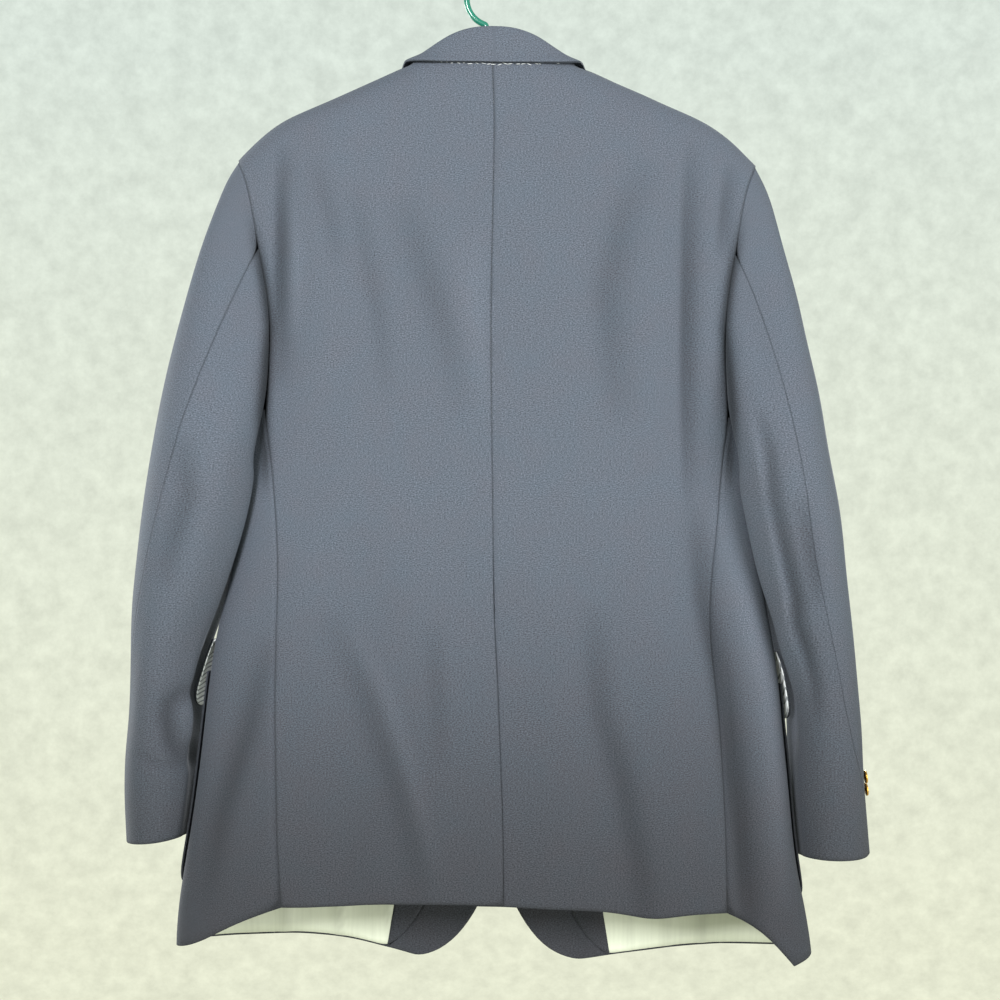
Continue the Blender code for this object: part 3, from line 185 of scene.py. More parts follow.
# The hanger, whose arms and bar follow the CAD hanger's
HOOK_CENTRE_Z = -0.0221
HOOK_RADIUS = 0.0250
HOOK_ENDS = (172.0, -74.0)
STEM_FOOT_Z = -0.0735
HOOK_ROD = 0.0029
ARM_ROD = 0.0045
INSIDE_ARMS = (-0.0037, -0.145)  # x and z of a place inside the loop of the arms and the bar

BUTTONS = (
    "button_front_upper", "button_front_lower", "button_cuff_left_upper", "button_cuff_left_lower",
    "button_cuff_right_upper", "button_cuff_right_lower",
)

# The facings' straight inner edges near the hem: (x, z) of two points on each
FACING_EDGE = {"left": ((0.0966, -0.889), (0.1034, -0.930)), "right": ((-0.1065, -0.896), (-0.1133, -0.939))}
FACING_CORNER_TOP = -0.83
FACING_STEP = 0.0004  # how far the corner stands off the lining under it

# The pale stitches that show under the collar's edge, and the buttonholes' edges
STITCH_HALF_WIDTH, STITCH_HALF_HEIGHT = 0.00045, 0.00035
STITCH_LIFT = 0.0003  # how far a stitch's middle stands off its cloth
BUTTONHOLE_HALF_LENGTH, BUTTONHOLE_HALF_WIDTH = 0.0095, 0.0013
BUTTONHOLE_THREAD = 0.0005
BUTTONHOLE_SHIFT = -0.006  # from the button's middle, towards which the front pulls
SEAM_TRIES = (0.0, 0.0008, -0.0008)  # seams are open by less than that
COLLAR_STITCHES = (
    # x, z and length in millimetres, turn in degrees
    (49.0, -89.0, 2.5, -25), (43.7, -89.3, 2.1, -23), (39.0, -90.7, 2.3, 3), (32.7, -90.7, 3.5, -25),
    (27.9, -90.7, 2.2, -12), (22.2, -91.7, 5.0, 3), (15.7, -91.3, 3.2, -25), (9.7, -91.3, 4.5, -12),
    (4.8, -92.1, 4.0, 11), (-0.1, -92.4, 5.0, -1), (-7.0, -92.6, 4.0, 21), (-11.7, -91.5, 5.6, -20),
    (-16.2, -91.9, 5.3, 10), (-24.1, -91.9, 4.1, 6), (-28.8, -91.7, 4.6, 13), (-34.1, -92.0, 5.3, -24),
    (-41.1, -91.4, 3.2, -13), (-43.9, -91.3, 2.7, -19), (-61.2, -90.0, 2.6, 15),
)

# Shades that the materials give, as shares of their colours
GRAIN_SHADE, GRAIN_LEVEL = 3.4, -0.80  # the grain's strength, and what keeps the mean
WEAVE_SHADE = 0.25
SEAM_SHADE, SEAM_SHARPNESS = 0.45, 40.0  # how much darker a cut edge is, with painted shade and dust in the seam's crevice, and how close to it
FOLD_SHADE, CREASE_SHADE = 0.50, 0.55  # how much painted shade darkens the deepest fold, and painted highlight lightens the highest ridge, in the wool and in the lining
WARP_SHADE = 0.82
FLOW_SHADE = 0.80
HEM_SHADE_FULL, HEM_SHADE_START = -0.93, -0.46  # heights between which painted shade darkens the wool towards the hem
DASH_SLANT = math.radians(35)
DASH_COLOUR = "#4a525c"
THREAD_SHADE, THREAD_COLOUR = "#8d9299", "#dfe2e4"

LIGHTS = (
    # name, place, watts, size; all face the middle of the blazer
    ("key", (1.0, 2.5, 0.3), 102.0, 0.7),
    ("fill", (-2.4, 1.8, -0.4), 86.0, 1.6),
    ("front_key", (-1.0, -2.5, 0.3), 102.0, 0.7),
    ("front_fill", (2.4, -1.8, -0.4), 86.0, 1.6),
    ("top", (0.0, 0.2, 2.6), 5.0, 2.0),
)
LIGHTS_FACE = (0.0, 0.0, -0.5)
SKY_COLOUR, SKY_STRENGTH = "#eef2ee", 0.47
ROOM_BEND = 1.5  # radius of the sweep between floor and wall
ROOM_HEIGHT = 6.5
CAMERA_PLACE = (-0.0064, 1.645, -0.4955)
CAMERA_LENS = 62.6


# Colours and settings


def linear(code):
    """A linear colour from an sRGB hex value."""
    parts = [int(code[k:k + 2], 16) / 255 for k in (1, 3, 5)]
    return (*[c / 12.92 if c <= 0.04045 else ((c + 0.055) / 1.055) ** 2.4 for c in parts], 1.0)


def colour_setting(name, description, code):
    return bpy.props.FloatVectorProperty(
        name=name, description=description, default=linear(code), size=4, min=0.0, max=1.0, subtype="COLOR",
    )


class ClothSettings(bpy.types.PropertyGroup):
    colour: colour_setting("Wool", "Colour of the wool cloth", "#525962")
    # painted shade: the colour the wool darkens to at the hem, where less light falls
    hem_shade_colour: colour_setting("Wool below", "Colour that the wool deepens to at the hem", "#35373b")
    cool_tint: colour_setting("Cool tint", "Cool end of the wool's mottling", "#f0f8ff")
    warm_tint: colour_setting("Warm tint", "Warm end of the wool's mottling", "#fff2f4")
    yarn: bpy.props.FloatProperty(
        name="Yarn", description="Distance between neighbouring yarns, as drawn", default=0.0012, unit="LENGTH"
    )
    fineness: bpy.props.IntProperty(name="Fineness", description="Subdivisions of a cloth solid", default=3, min=1)


class TrimSettings(bpy.types.PropertyGroup):
    lining: colour_setting("Lining", "Colour of the satin lining", "#cbd0be")
    flap_lining: colour_setting("Flap lining", "Colour of the flaps' lining", "#f0f4f6")
    brass: colour_setting("Brass", "Colour of the buttons", "#d2a24c")
    plastic: colour_setting("Plastic", "Colour of the hanger", "#1f6f5c")


class StageSettings(bpy.types.PropertyGroup):
    wall: colour_setting("Wall", "Colour of the wall above", "#dfeae0")
    floor: colour_setting("Floor", "Colour of the floor", "#ecefd7")
    glow: bpy.props.FloatProperty(name="Glow", description="Light that the washed wall gives", default=0.94, min=0.0)
    radius: bpy.props.FloatProperty(name="Room", description="Radius of the studio", default=5.0, unit="LENGTH")
    floor_z: bpy.props.FloatProperty(name="Floor level", description="Floor's height", default=-2.4, unit="LENGTH")


# Nodes


def add_node(tree, kind, settings=(), values=(), links=()):
    """One node, with its settings, its sockets' values and the outputs that feed its inputs."""
    node = tree.nodes.new(kind)
    for name, value in dict(settings).items():
        setattr(node, name, value)
    for socket, value in dict(values).items():
        node.inputs[socket].default_value = value
    for socket, source in dict(links).items():
        tree.links.new(source, node.inputs[socket])
    return node


def per_metre(millimetres):
    """How many times a size goes into a metre: the scale of a noise whose cells have that size."""
    return 1000.0 / millimetres


def bands_every(metres):
    """The scale of a wave texture whose bands are that far apart."""
    return 0.314 / metres


def new_material(name):
    material = bpy.data.materials.new(name)
    material.use_nodes = True
    tree = material.node_tree
    tree.nodes.clear()
    return material, tree


def finish_material(tree, shader):
    output = tree.nodes.new("ShaderNodeOutputMaterial")
    tree.links.new(shader.outputs[0], output.inputs["Surface"])


def wool_material(settings):
    """Worsted wool, woven, piece-dyed and pressed: matt, finely grained and mottled. Painted shade darkens its folds,
    the roll at its armholes and its lower part, painted highlight lightens its ridges, and its seams are darker with
    painted crevice shade and dust.

    Its yarns are 0.4 mm apart, too fine to show, so the weave is drawn at the setting's yarn and the grain at 0.909 mm.
    """
    material, tree = new_material("worsted_wool")
    cloth = add_node(tree, "ShaderNodeAttribute", {"attribute_name": "cloth"})
    place = add_node(tree, "ShaderNodeTexCoord")
    split = add_node(tree, "ShaderNodeSeparateXYZ", links={0: place.outputs["Object"]})
    # painted shade: the wool darkens towards the hem
    height = add_node(
        tree, "ShaderNodeMapRange", {"interpolation_type": "SMOOTHSTEP"},
        {"From Min": HEM_SHADE_FULL, "From Max": HEM_SHADE_START}, {"Value": split.outputs["Z"]},
    )
    base = add_node(
        tree, "ShaderNodeMix", {"data_type": "RGBA"},
        {6: settings.hem_shade_colour, 7: settings.colour}, {0: height.outputs[0]},
    )
    # the weave: two sets of yarns that cross, each uneven
    weave = None
    for direction in ("X", "Y"):
        yarn = add_node(
            tree, "ShaderNodeTexWave", {"wave_type": "BANDS", "bands_direction": direction},
            {"Scale": bands_every(settings.yarn), "Distortion": 2.5, "Detail": 2.0, "Detail Scale": 25.0},
            {0: cloth.outputs["Vector"]},
        )
        weave = yarn if weave is None else add_node(
            tree, "ShaderNodeMath", {"operation": "MULTIPLY"}, links={0: weave.outputs["Fac"], 1: yarn.outputs["Fac"]},
        )
    level = add_node(
        tree, "ShaderNodeMapping", values={"Scale": (0.6, 1.0, 1.0)}, links={0: cloth.outputs["Vector"]},
    )
    grain = add_node(
        tree, "ShaderNodeTexNoise", values={"Scale": per_metre(0.909), "Detail": 3.0, "Roughness": 0.7},
        links={0: level.outputs[0]},
    )
    mottle = add_node(
        tree, "ShaderNodeTexNoise", values={"Scale": per_metre(38.5), "Detail": 5.0, "Roughness": 0.65},
        links={0: place.outputs["Object"]},
    )
    tint = add_node(
        tree, "ShaderNodeMix", {"data_type": "RGBA"},
        {6: settings.cool_tint, 7: settings.warm_tint}, {0: mottle.outputs["Fac"]},
    )
    tinted = add_node(
        tree, "ShaderNodeMix", {"data_type": "RGBA", "blend_type": "MULTIPLY"}, {0: 1.0},
        {6: base.outputs[2], 7: tint.outputs[2]},
    )
    # how bright the yarns are: 1 on the whole, with the grain's noise about 0.5 and the weave's about 0.25
    shade = add_node(
        tree, "ShaderNodeMath", {"operation": "MULTIPLY_ADD"}, {1: GRAIN_SHADE, 2: GRAIN_LEVEL},
        {0: grain.outputs["Fac"]},
    )
    shade = add_node(
        tree, "ShaderNodeMath", {"operation": "MULTIPLY_ADD"}, {1: WEAVE_SHADE},
        {0: weave.outputs[0], 2: shade.outputs[0]},
    )
    # painted shade and dust in the seams' crevices darken the cut edges
    rim = add_node(tree, "ShaderNodeAttribute", {"attribute_name": "rim"})
    near = add_node(tree, "ShaderNodeMath", {"operation": "POWER"}, {1: SEAM_SHARPNESS}, {0: rim.outputs["Fac"]})
    seam = add_node(
        tree, "ShaderNodeMath", {"operation": "MULTIPLY_ADD"}, {1: -SEAM_SHADE, 2: 1.0}, {0: near.outputs[0]},
    )
    shade = add_node(
        tree, "ShaderNodeMath", {"operation": "MULTIPLY"}, links={0: shade.outputs[0], 1: seam.outputs[0]},
    )
    # painted shade darkens the folds' troughs, and painted highlight lightens their ridges
    trough = add_node(tree, "ShaderNodeAttribute", {"attribute_name": "trough"})
    painted_fold_shade = add_node(
        tree, "ShaderNodeMath", {"operation": "MULTIPLY_ADD"}, {1: -FOLD_SHADE, 2: 1.0}, {0: trough.outputs["Fac"]},
    )
    shade = add_node(
        tree, "ShaderNodeMath", {"operation": "MULTIPLY"}, links={0: shade.outputs[0], 1: painted_fold_shade.outputs[0]},
    )
    colour = add_node(
        tree, "ShaderNodeMix", {"data_type": "RGBA", "blend_type": "MULTIPLY"}, {0: 1.0},
        {6: tinted.outputs[2], 7: shade.outputs[0]},
    )
    relief = add_node(
        tree, "ShaderNodeMath", {"operation": "MULTIPLY_ADD"}, {1: 0.6},
        {0: grain.outputs["Fac"], 2: weave.outputs[0]},
    )
    bump = add_node(
        tree, "ShaderNodeBump", values={"Strength": 0.5, "Distance": 0.0004}, links={"Height": relief.outputs[0]},
    )
    shader = add_node(
        tree, "ShaderNodeBsdfPrincipled",
        values={
            "Roughness": 0.92, "Specular IOR Level": 0.2, "Sheen Weight": 0.08, "Sheen Roughness": 0.5,
            "Sheen Tint": linear("#c9d4e4"),
        },
        links={"Base Color": colour.outputs[2], "Normal": bump.outputs[0]},
    )
    finish_material(tree, shader)
    return material


def satin_material(name, colour, dashes=None):
    """Acetate satin lining: smooth, with a low gloss, faint streaks of its warp, painted shade in its creases and, in
    the flaps, slanting dashes.

    Its warp threads are 0.1 mm apart, too fine to show, so their unevenness is drawn 2.38 mm wide.
    """
    material, tree = new_material(name)
    cloth = add_node(tree, "ShaderNodeAttribute", {"attribute_name": "cloth"})
    stretch = add_node(
        tree, "ShaderNodeMapping", values={"Scale": (1.0, 0.05, 1.0)}, links={0: cloth.outputs["Vector"]},
    )
    warp = add_node(
        tree, "ShaderNodeTexNoise", values={"Scale": per_metre(2.38), "Detail": 2.0}, links={0: stretch.outputs[0]},
    )
    streaked = add_node(
        tree, "ShaderNodeMix", {"data_type": "RGBA"},
        {6: tuple(part * WARP_SHADE for part in colour), 7: colour}, {0: warp.outputs["Fac"]},
    )
    if dashes:
        slant = add_node(
            tree, "ShaderNodeMapping", values={"Rotation": (0.0, 0.0, DASH_SLANT)},
            links={0: cloth.outputs["Vector"]},
        )
        bands = add_node(
            tree, "ShaderNodeTexWave", {"bands_direction": "X"}, {"Scale": bands_every(dashes), "Distortion": 1.5},
            {0: slant.outputs[0]},
        )
        breaks = add_node(
            tree, "ShaderNodeTexNoise", values={"Scale": per_metre(6.67)}, links={0: cloth.outputs["Vector"]},
        )
        both = add_node(
            tree, "ShaderNodeMath", {"operation": "MULTIPLY"},
            links={0: bands.outputs["Fac"], 1: breaks.outputs["Fac"]},
        )
        dash = add_node(
            tree, "ShaderNodeMapRange", values={"From Min": 0.36, "From Max": 0.46, "To Max": 0.75},
            links={"Value": both.outputs[0]},
        )
        streaked = add_node(
            tree, "ShaderNodeMix", {"data_type": "RGBA"}, {7: linear(DASH_COLOUR)},
            {0: dash.outputs[0], 6: streaked.outputs[2]},
        )
    # painted shade darkens the lining in its creases
    trough = add_node(tree, "ShaderNodeAttribute", {"attribute_name": "trough"})
    crease = add_node(
        tree, "ShaderNodeMath", {"operation": "MULTIPLY_ADD"}, {1: -CREASE_SHADE, 2: 1.0},
        {0: trough.outputs["Fac"]},
    )
    crease_shaded = add_node(
        tree, "ShaderNodeMix", {"data_type": "RGBA", "blend_type": "MULTIPLY"}, {0: 1.0},
        {6: streaked.outputs[2], 7: crease.outputs[0]},
    )
    bump = add_node(
        tree, "ShaderNodeBump", values={"Strength": 0.2, "Distance": 0.0002}, links={"Height": warp.outputs["Fac"]},
    )
    shader = add_node(
        tree, "ShaderNodeBsdfPrincipled", values={"Roughness": 0.42, "Specular IOR Level": 0.45, "Sheen Weight": 0.1},
        links={"Base Color": crease_shaded.outputs[2], "Normal": bump.outputs[0]},
    )
    finish_material(tree, shader)
    return material


def brass_material(settings):
    """Stamped brass, lacquered: warm and glossy, a little dull in its hollows."""
    material, tree = new_material("stamped_brass")
    place = add_node(tree, "ShaderNodeTexCoord")
    wear = add_node(
        tree, "ShaderNodeTexNoise", values={"Scale": per_metre(1.11), "Detail": 3.0},
        links={0: place.outputs["Object"]},
    )
    rough = add_node(
        tree, "ShaderNodeMapRange", values={"To Min": 0.18, "To Max": 0.42}, links={"Value": wear.outputs["Fac"]},
    )
    shader = add_node(
        tree, "ShaderNodeBsdfPrincipled", values={"Base Color": settings.brass, "Metallic": 1.0},
        links={"Roughness": rough.outputs[0]},
    )
    finish_material(tree, shader)
    return material


def plastic_material(settings):
    """Polypropylene, injection moulded: glossy, a little waxy, with faint flow marks."""
    material, tree = new_material("moulded_polypropylene")
    place = add_node(tree, "ShaderNodeTexCoord")
    flow = add_node(
        tree, "ShaderNodeTexNoise", values={"Scale": per_metre(16.7), "Detail": 2.0},
        links={0: place.outputs["Object"]},
    )
    colour = add_node(
        tree, "ShaderNodeMix", {"data_type": "RGBA"},
        {6: tuple(part * FLOW_SHADE for part in settings.plastic), 7: settings.plastic}, {0: flow.outputs["Fac"]},
    )
    bump = add_node(
        tree, "ShaderNodeBump", values={"Strength": 0.08, "Distance": 0.0003}, links={"Height": flow.outputs["Fac"]},
    )
    shader = add_node(
        tree, "ShaderNodeBsdfPrincipled", values={"Roughness": 0.18, "IOR": 1.49, "Coat Weight": 0.3},
        links={"Base Color": colour.outputs[2], "Normal": bump.outputs[0]},
    )
    finish_material(tree, shader)
    return material


def thread_material():
    """Mercerised cotton thread: off-white, a little glossy, twisted."""
    material, tree = new_material("cotton_thread")
    place = add_node(tree, "ShaderNodeTexCoord")
    twist = add_node(
        tree, "ShaderNodeTexNoise", values={"Scale": per_metre(0.556), "Detail": 2.0},
        links={0: place.outputs["Object"]},
    )
    colour = add_node(
        tree, "ShaderNodeMix", {"data_type": "RGBA"}, {6: linear(THREAD_SHADE), 7: linear(THREAD_COLOUR)},
        {0: twist.outputs["Fac"]},
    )
    shader = add_node(
        tree, "ShaderNodeBsdfPrincipled", values={"Roughness": 0.6, "Sheen Weight": 0.3},
        links={"Base Color": colour.outputs[2]},
    )
    finish_material(tree, shader)
    return material


def material_of(name):
    scene = bpy.context.scene
    makers = {
        "worsted_wool": lambda: wool_material(scene.blazer_cloth),
        "acetate_satin": lambda: satin_material("acetate_satin", scene.blazer_trim.lining),
        "striped_flap_satin": lambda: satin_material("striped_flap_satin", scene.blazer_trim.flap_lining, 0.004),
        "stamped_brass": lambda: brass_material(scene.blazer_trim),
        "moulded_polypropylene": lambda: plastic_material(scene.blazer_trim),
        "cotton_thread": thread_material,
    }
    return bpy.data.materials.get(name) or makers[name]()


# CAD solids


def welded(node):
    """A bmesh of a CAD node, its loose triangles merged."""
    solid = bmesh.new()
    solid.from_mesh(frame["nodes"][node].data)
    bmesh.ops.remove_doubles(solid, verts=solid.verts[:], dist=WELD)
    return solid


def corners(node):
    """Each corner of a CAD node once."""
    solid = welded(node)
    points = np.array([vert.co for vert in solid.verts])
    solid.free()
    return points


def arms_line():
    """The middle line of the CAD hanger's arms and bar: each of its points has a rearmost corner behind it."""
    points = corners("hanger")
    rear = points[points[:, 1] > 0.99 * ARM_ROD].round(4)
    turn = np.arctan2(rear[:, 0] - INSIDE_ARMS[0], rear[:, 2] - INSIDE_ARMS[1])
    return [(x, 0.0, z) for x, _, z in rear[np.argsort(turn)]]


def button_place(node):
    """A CAD button's radius, the middle of its seat, and its way out along the axis that it is turned about.

    They are rounded, so that nothing hangs on the last digits of the CAD's corners.
    """
    points = corners(node)
    middle = points.mean(axis=0)
    way = np.linalg.svd(points - middle)[2][2]
    if way @ (middle * (1, 1, 0)) < 0:
        way = -way
    height = (points - middle) @ way
    radius = np.linalg.norm(points - middle - height[:, None] * way, axis=1).max()
    return radius.round(4), Vector((middle + height.min() * way).round(5)), Vector(way.round(4))


# Cloth


def cloth_solid(node):
    """A bmesh of a CAD node's cloth in quads, with its cut edges held sharp."""
    cloth = welded(node)
    bmesh.ops.join_triangles(
        cloth, faces=cloth.faces[:], angle_face_threshold=math.radians(50), angle_shape_threshold=math.pi,
    )
    rims = {
        face for face in cloth.faces
        if sum(edge.calc_length() < THICKNESS_EDGE for edge in face.edges) >= 2
        and sum(edge.calc_face_angle(0.0) > RIM_ANGLE for edge in face.edges) >= 2
    }
    crease = cloth.edges.layers.float.new("crease_edge")
    for edge in cloth.edges:
        if edge.calc_face_angle(0.0) > RIM_ANGLE and any(face in rims for face in edge.link_faces):
            edge[crease] = 1.0
    rim = cloth.verts.layers.float.new("rim")
    ways = {}
    for face in rims:
        for vert in face.verts:
            vert[rim] = 1.0
            ways.setdefault(vert, []).append(face.normal.copy())
    for vert, normals in ways.items():
        vert.co += SEAM_CLOSE * sum(normals, Vector()).normalized()
    return cloth


def refined(cloth, levels):
    """The mesh of a bmesh after its subdivision."""
    mesh = bpy.data.meshes.new("cloth")
    cloth.to_mesh(mesh)
    cloth.free()
    carrier = bpy.data.objects.new("cloth", mesh)
    bpy.context.scene.collection.objects.link(carrier)
    divide = carrier.modifiers.new("divide", "SUBSURF")
    divide.levels = divide.render_levels = levels
    graph = bpy.context.evaluated_depsgraph_get()
    fine = bpy.data.meshes.new_from_object(carrier.evaluated_get(graph))
    bpy.data.objects.remove(carrier)
    bpy.data.meshes.remove(mesh)
    return fine


def points_of(mesh):
    flat = np.empty(len(mesh.vertices) * 3)
    mesh.vertices.foreach_get("co", flat)
    return flat.reshape(-1, 3)


def tube_at(tube, points):
    """The middle and half sizes of a tube at each point's height."""
    table = TUBES[tube]
    heights = [-z for z in table["z"]]
    return [np.interp(-points[:, 2], heights, table[name]) for name in ("x", "y", "half_x", "half_y")]


def outward(tube, points):
    """The way out of a tube's cloth at each point, level with the floor."""
    x, y, half_x, half_y = tube_at(tube, points)
    across, deep = (points[:, 0] - x) / half_x, (points[:, 1] - y) / half_y
    way = np.stack([
        np.sign(across) * np.abs(across) ** 1.5 / half_x, np.sign(deep) * np.abs(deep) ** 1.5 / half_y,
        np.zeros(len(points)),
    ], axis=1)
    return way / np.maximum(np.linalg.norm(way, axis=1), 1e-9)[:, None]


def unrolled(tube, points):
    """How far across the tube's cloth, laid flat, each point lies."""
    x, y, half_x, half_y = tube_at(tube, points)
    if tube == "body":
        return np.sign(points[:, 0] - x) * (np.abs(points[:, 0] - x) + BODY_HALF_DEPTH - points[:, 1])
    turn = np.arctan2(points[:, 1] - y, (points[:, 0] - x) * (1 if tube.endswith("left") else -1))
    return turn * (half_x + half_y) / 2


def smooth(share):
    """A share held between 0 and 1, eased at both ends."""
    share = np.clip(share, 0, 1)
    return share * share * (3 - 2 * share)


def along(path, points):
    """(distance, side, share) of each point's nearest place on a path of (x, z): side is above 0 towards +x."""
    flat = points[:, [0, 2]]
    lengths = np.linalg.norm(np.diff(path, axis=0), axis=1)
    nearest, side, share = (np.full(len(points), value) for value in (9.0, 1.0, 0.0))
    for k, (start, end) in enumerate(zip(path, path[1:])):
        way = (end - start) / lengths[k]
        off = flat - start
        reach = np.clip(off @ way, 0, lengths[k])
        distance = np.linalg.norm(off - reach[:, None] * way, axis=1)
        closer = distance < nearest
        nearest[closer] = distance[closer]
        side[closer] = (way[0] * off[:, 1] - way[1] * off[:, 0])[closer]
        share[closer] = ((lengths[:k].sum() + reach) / lengths.sum())[closer]
    return nearest, side, share


def fold_depth(tube, points, group):
    """How far a group's folds sink each point."""
    deep = np.zeros(len(points))
    _, middle_y, _, half_y = tube_at(tube, points)
    for its_tube, face, depth, width_low, width_high, path in FOLDS:
        if its_tube != group:
            continue
        way = 1 if face == "back" else -1
        gate = smooth((points[:, 1] - middle_y) * way / (FOLD_REACH * half_y))
        distance, side, share = along(np.array(path) / 1000, points)
        width = np.where(side < 0, width_low, width_high) / 1000
        deep += depth / 1000 * gate * np.sin(math.pi * share) ** 0.7 * np.exp(-((distance / width) ** 2))
    return deep


def past_armhole(points):
    """How far outside its armhole's seam each point is."""
    heights = [-z for z in ARMHOLE["z"]]
    back, front = (np.interp(-points[:, 2], heights, ARMHOLE[face]) for face in ("back", "front"))
    return np.abs(points[:, 0] - HANG_SHIFT) - np.where(points[:, 1] > 0, back, front)


def free_of_armhole(tube, points):
    """From 0 where the cloth is sewn to the armhole to 1 a little way off it."""
    past = past_armhole(points)
    free = smooth(-past / FREE_OF_SEAM["body"]) if tube == "body" else smooth(past / FREE_OF_SEAM["sleeve"])
    return np.where(points[:, 2] > ARMHOLE_FOOT, free, 1.0)


def armhole_roll_shade(points):
    """From 1 at the lower armhole's seam to 0 beside it: painted shade where body and sleeve roll in at the seam."""
    top, full, fading, foot = ROLL_HEIGHTS
    below = smooth((top - points[:, 2]) / (top - full)) * smooth((points[:, 2] - foot) / (fading - foot))
    return below * np.exp(-((past_armhole(points) / ROLL_WIDTH) ** 2))


def drape(tube, mesh, groups):
    """Presses the groups' folds and a slight unevenness into a mesh; gives its points as they were before."""
    points = points_of(mesh)
    rim = np.zeros(len(points), np.float32)
    mesh.attributes["rim"].data.foreach_get("value", rim)
    slow, quick = UNEVEN
    x, z = points[:, 0], points[:, 2]
    uneven = (
        slow * np.sin(x * 61 + 1.3 * np.sin(z * 17 + 0.4)) * np.sin(z * 23 + 1.9)
        + quick * np.sin(x * 118 + z * 41 + 0.7)
    )
    pressed = SEAM_PRESSED * np.clip(rim, 0, 1) ** 6 * (tube == "body")
    free = free_of_armhole(tube, points)
    folds = sum(fold_depth(tube, points, group) for group in groups) * free
    sunk = folds + (uneven + pressed) * free
    moved = points - outward(tube, points) * sunk[:, None]
    mesh.vertices.foreach_set("co", moved.ravel())
    # painted shading for the colour: each fold's depth darkens its trough and lightens its ridge, and the armhole's
    # roll adds painted shade
    store = mesh.attributes.new("trough", "FLOAT", "POINT")
    painted_shading = np.clip(folds / DEEPEST_FOLD, -1.0, 1.0) + ROLL_DARKNESS * armhole_roll_shade(points)
    store.data.foreach_set("value", painted_shading.astype(np.float32))
    if "facing" in groups:  # its seams lie under the lining's edge and show no line
        mesh.attributes["rim"].data.foreach_set("value", np.zeros(len(points), np.float32))
    return points


def lay_out(tube, mesh, points):
    """Stores each point's place on the flat cloth, which the weave is drawn by."""
    across = unrolled(tube, points)
    store = mesh.attributes.new("cloth", "FLOAT_VECTOR", "POINT")
    store.data.foreach_set("vector", np.stack([across, points[:, 2], 0 * across], axis=1).astype(np.float32).ravel())


def add_piece(name, mesh, material, nodes):
    piece = bpy.data.objects.new(name, mesh)
    mesh.name = name
    bpy.context.scene.collection.objects.link(piece)
    mesh.materials.clear()
    mesh.materials.append(material_of(material))
    mesh.shade_smooth()
    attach(piece, "root")
    if nodes:
        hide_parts(*nodes)
    return piece


def add_cloth(node, tube, material="worsted_wool", levels=None):
    """A cloth piece on its CAD solid, draped and laid out."""
    kind = node.replace("_left", "").replace("_right", "")
    mesh = refined(cloth_solid(node), levels or bpy.context.scene.blazer_cloth.fineness)
    points = drape(tube, mesh, (tube, kind))
    lay_out(tube, mesh, points)
    piece = add_piece(f"{node}_cloth", mesh, material, [node])
    mesh.set_sharp_from_angle(angle=RIM_ANGLE)
    return piece


def add_facing_corner(side):
    """The facing's wide corner at the hem, which covers the lining up to a straight edge."""
    corner = bmesh.new()
    corner.from_mesh(bpy.data.meshes[f"lining_{side}_cloth"])
    high, low = (Vector((x, 0, z)) for x, z in FACING_EDGE[side])
    inner = (low - high).cross(Vector((0, 1, 0))) * (1 if side == "left" else -1)
    for place, way in ((high, inner), (Vector((0, 0, FACING_CORNER_TOP)), Vector((0, 0, 1)))):
        bmesh.ops.bisect_plane(
            corner, geom=corner.verts[:] + corner.edges[:] + corner.faces[:], plane_co=place, plane_no=way,
            clear_outer=True,
        )
        bmesh.ops.holes_fill(corner, edges=[edge for edge in corner.edges if edge.is_boundary], sides=0)
    bmesh.ops.translate(corner, vec=(0, FACING_STEP, 0), verts=corner.verts[:])
    rim = corner.verts.layers.float["rim"]
    for vert in corner.verts:
        vert[rim] = 0.0
    mesh = bpy.data.meshes.new(f"facing_corner_{side}")
    corner.to_mesh(mesh)
    corner.free()
    add_piece(f"facing_corner_{side}", mesh, "worsted_wool", [])


class BLAZER_OT_body(bpy.types.Operator):
    """Makes the back, side and front panels"""

    bl_idname = "blazer.body"
    bl_label = "Body panels"

    def execute(self, context):
        for side in SIDES:
            add_cloth(f"back_{side}", "body")
            add_cloth(f"side_{side}", "body", levels=2)
            add_cloth(f"front_{side}", "body", levels=2)
        return {"FINISHED"}


class BLAZER_OT_sleeves(bpy.types.Operator):
    """Makes the two-piece sleeves"""

    bl_idname = "blazer.sleeves"
    bl_label = "Sleeves"

    def execute(self, context):
        for side in SIDES:
            add_cloth(f"sleeve_top_{side}", f"sleeve_{side}")
            add_cloth(f"sleeve_under_{side}", f"sleeve_{side}")
        return {"FINISHED"}


class BLAZER_OT_collar(bpy.types.Operator):
    """Makes the collar and the lapels"""

    bl_idname = "blazer.collar"
    bl_label = "Collar and lapels"

    def execute(self, context):
        add_cloth("collar", "body")
        for side in SIDES:
            add_cloth(f"lapel_{side}", "body", levels=2)
        return {"FINISHED"}


class BLAZER_OT_inside(bpy.types.Operator):
    """Makes the facings and the lining"""

    bl_idname = "blazer.inside"
    bl_label = "Facings and lining"

    def execute(self, context):
        for side in SIDES:
            add_cloth(f"facing_{side}", "body", levels=2)
            add_cloth(f"lining_{side}", "body", "acetate_satin", levels=2)
            add_facing_corner(side)
        return {"FINISHED"}


class BLAZER_OT_pockets(bpy.types.Operator):
    """Makes the patch pockets and their flaps"""

    bl_idname = "blazer.pockets"
    bl_label = "Pockets and flaps"

    def execute(self, context):
        for side in SIDES:
            add_cloth(f"pocket_{side}", "body", levels=2)
            add_cloth(f"flap_{side}", "body", levels=2)
            add_cloth(f"flap_lining_{side}", "body", "striped_flap_satin", levels=2)
        return {"FINISHED"}


# Hard parts


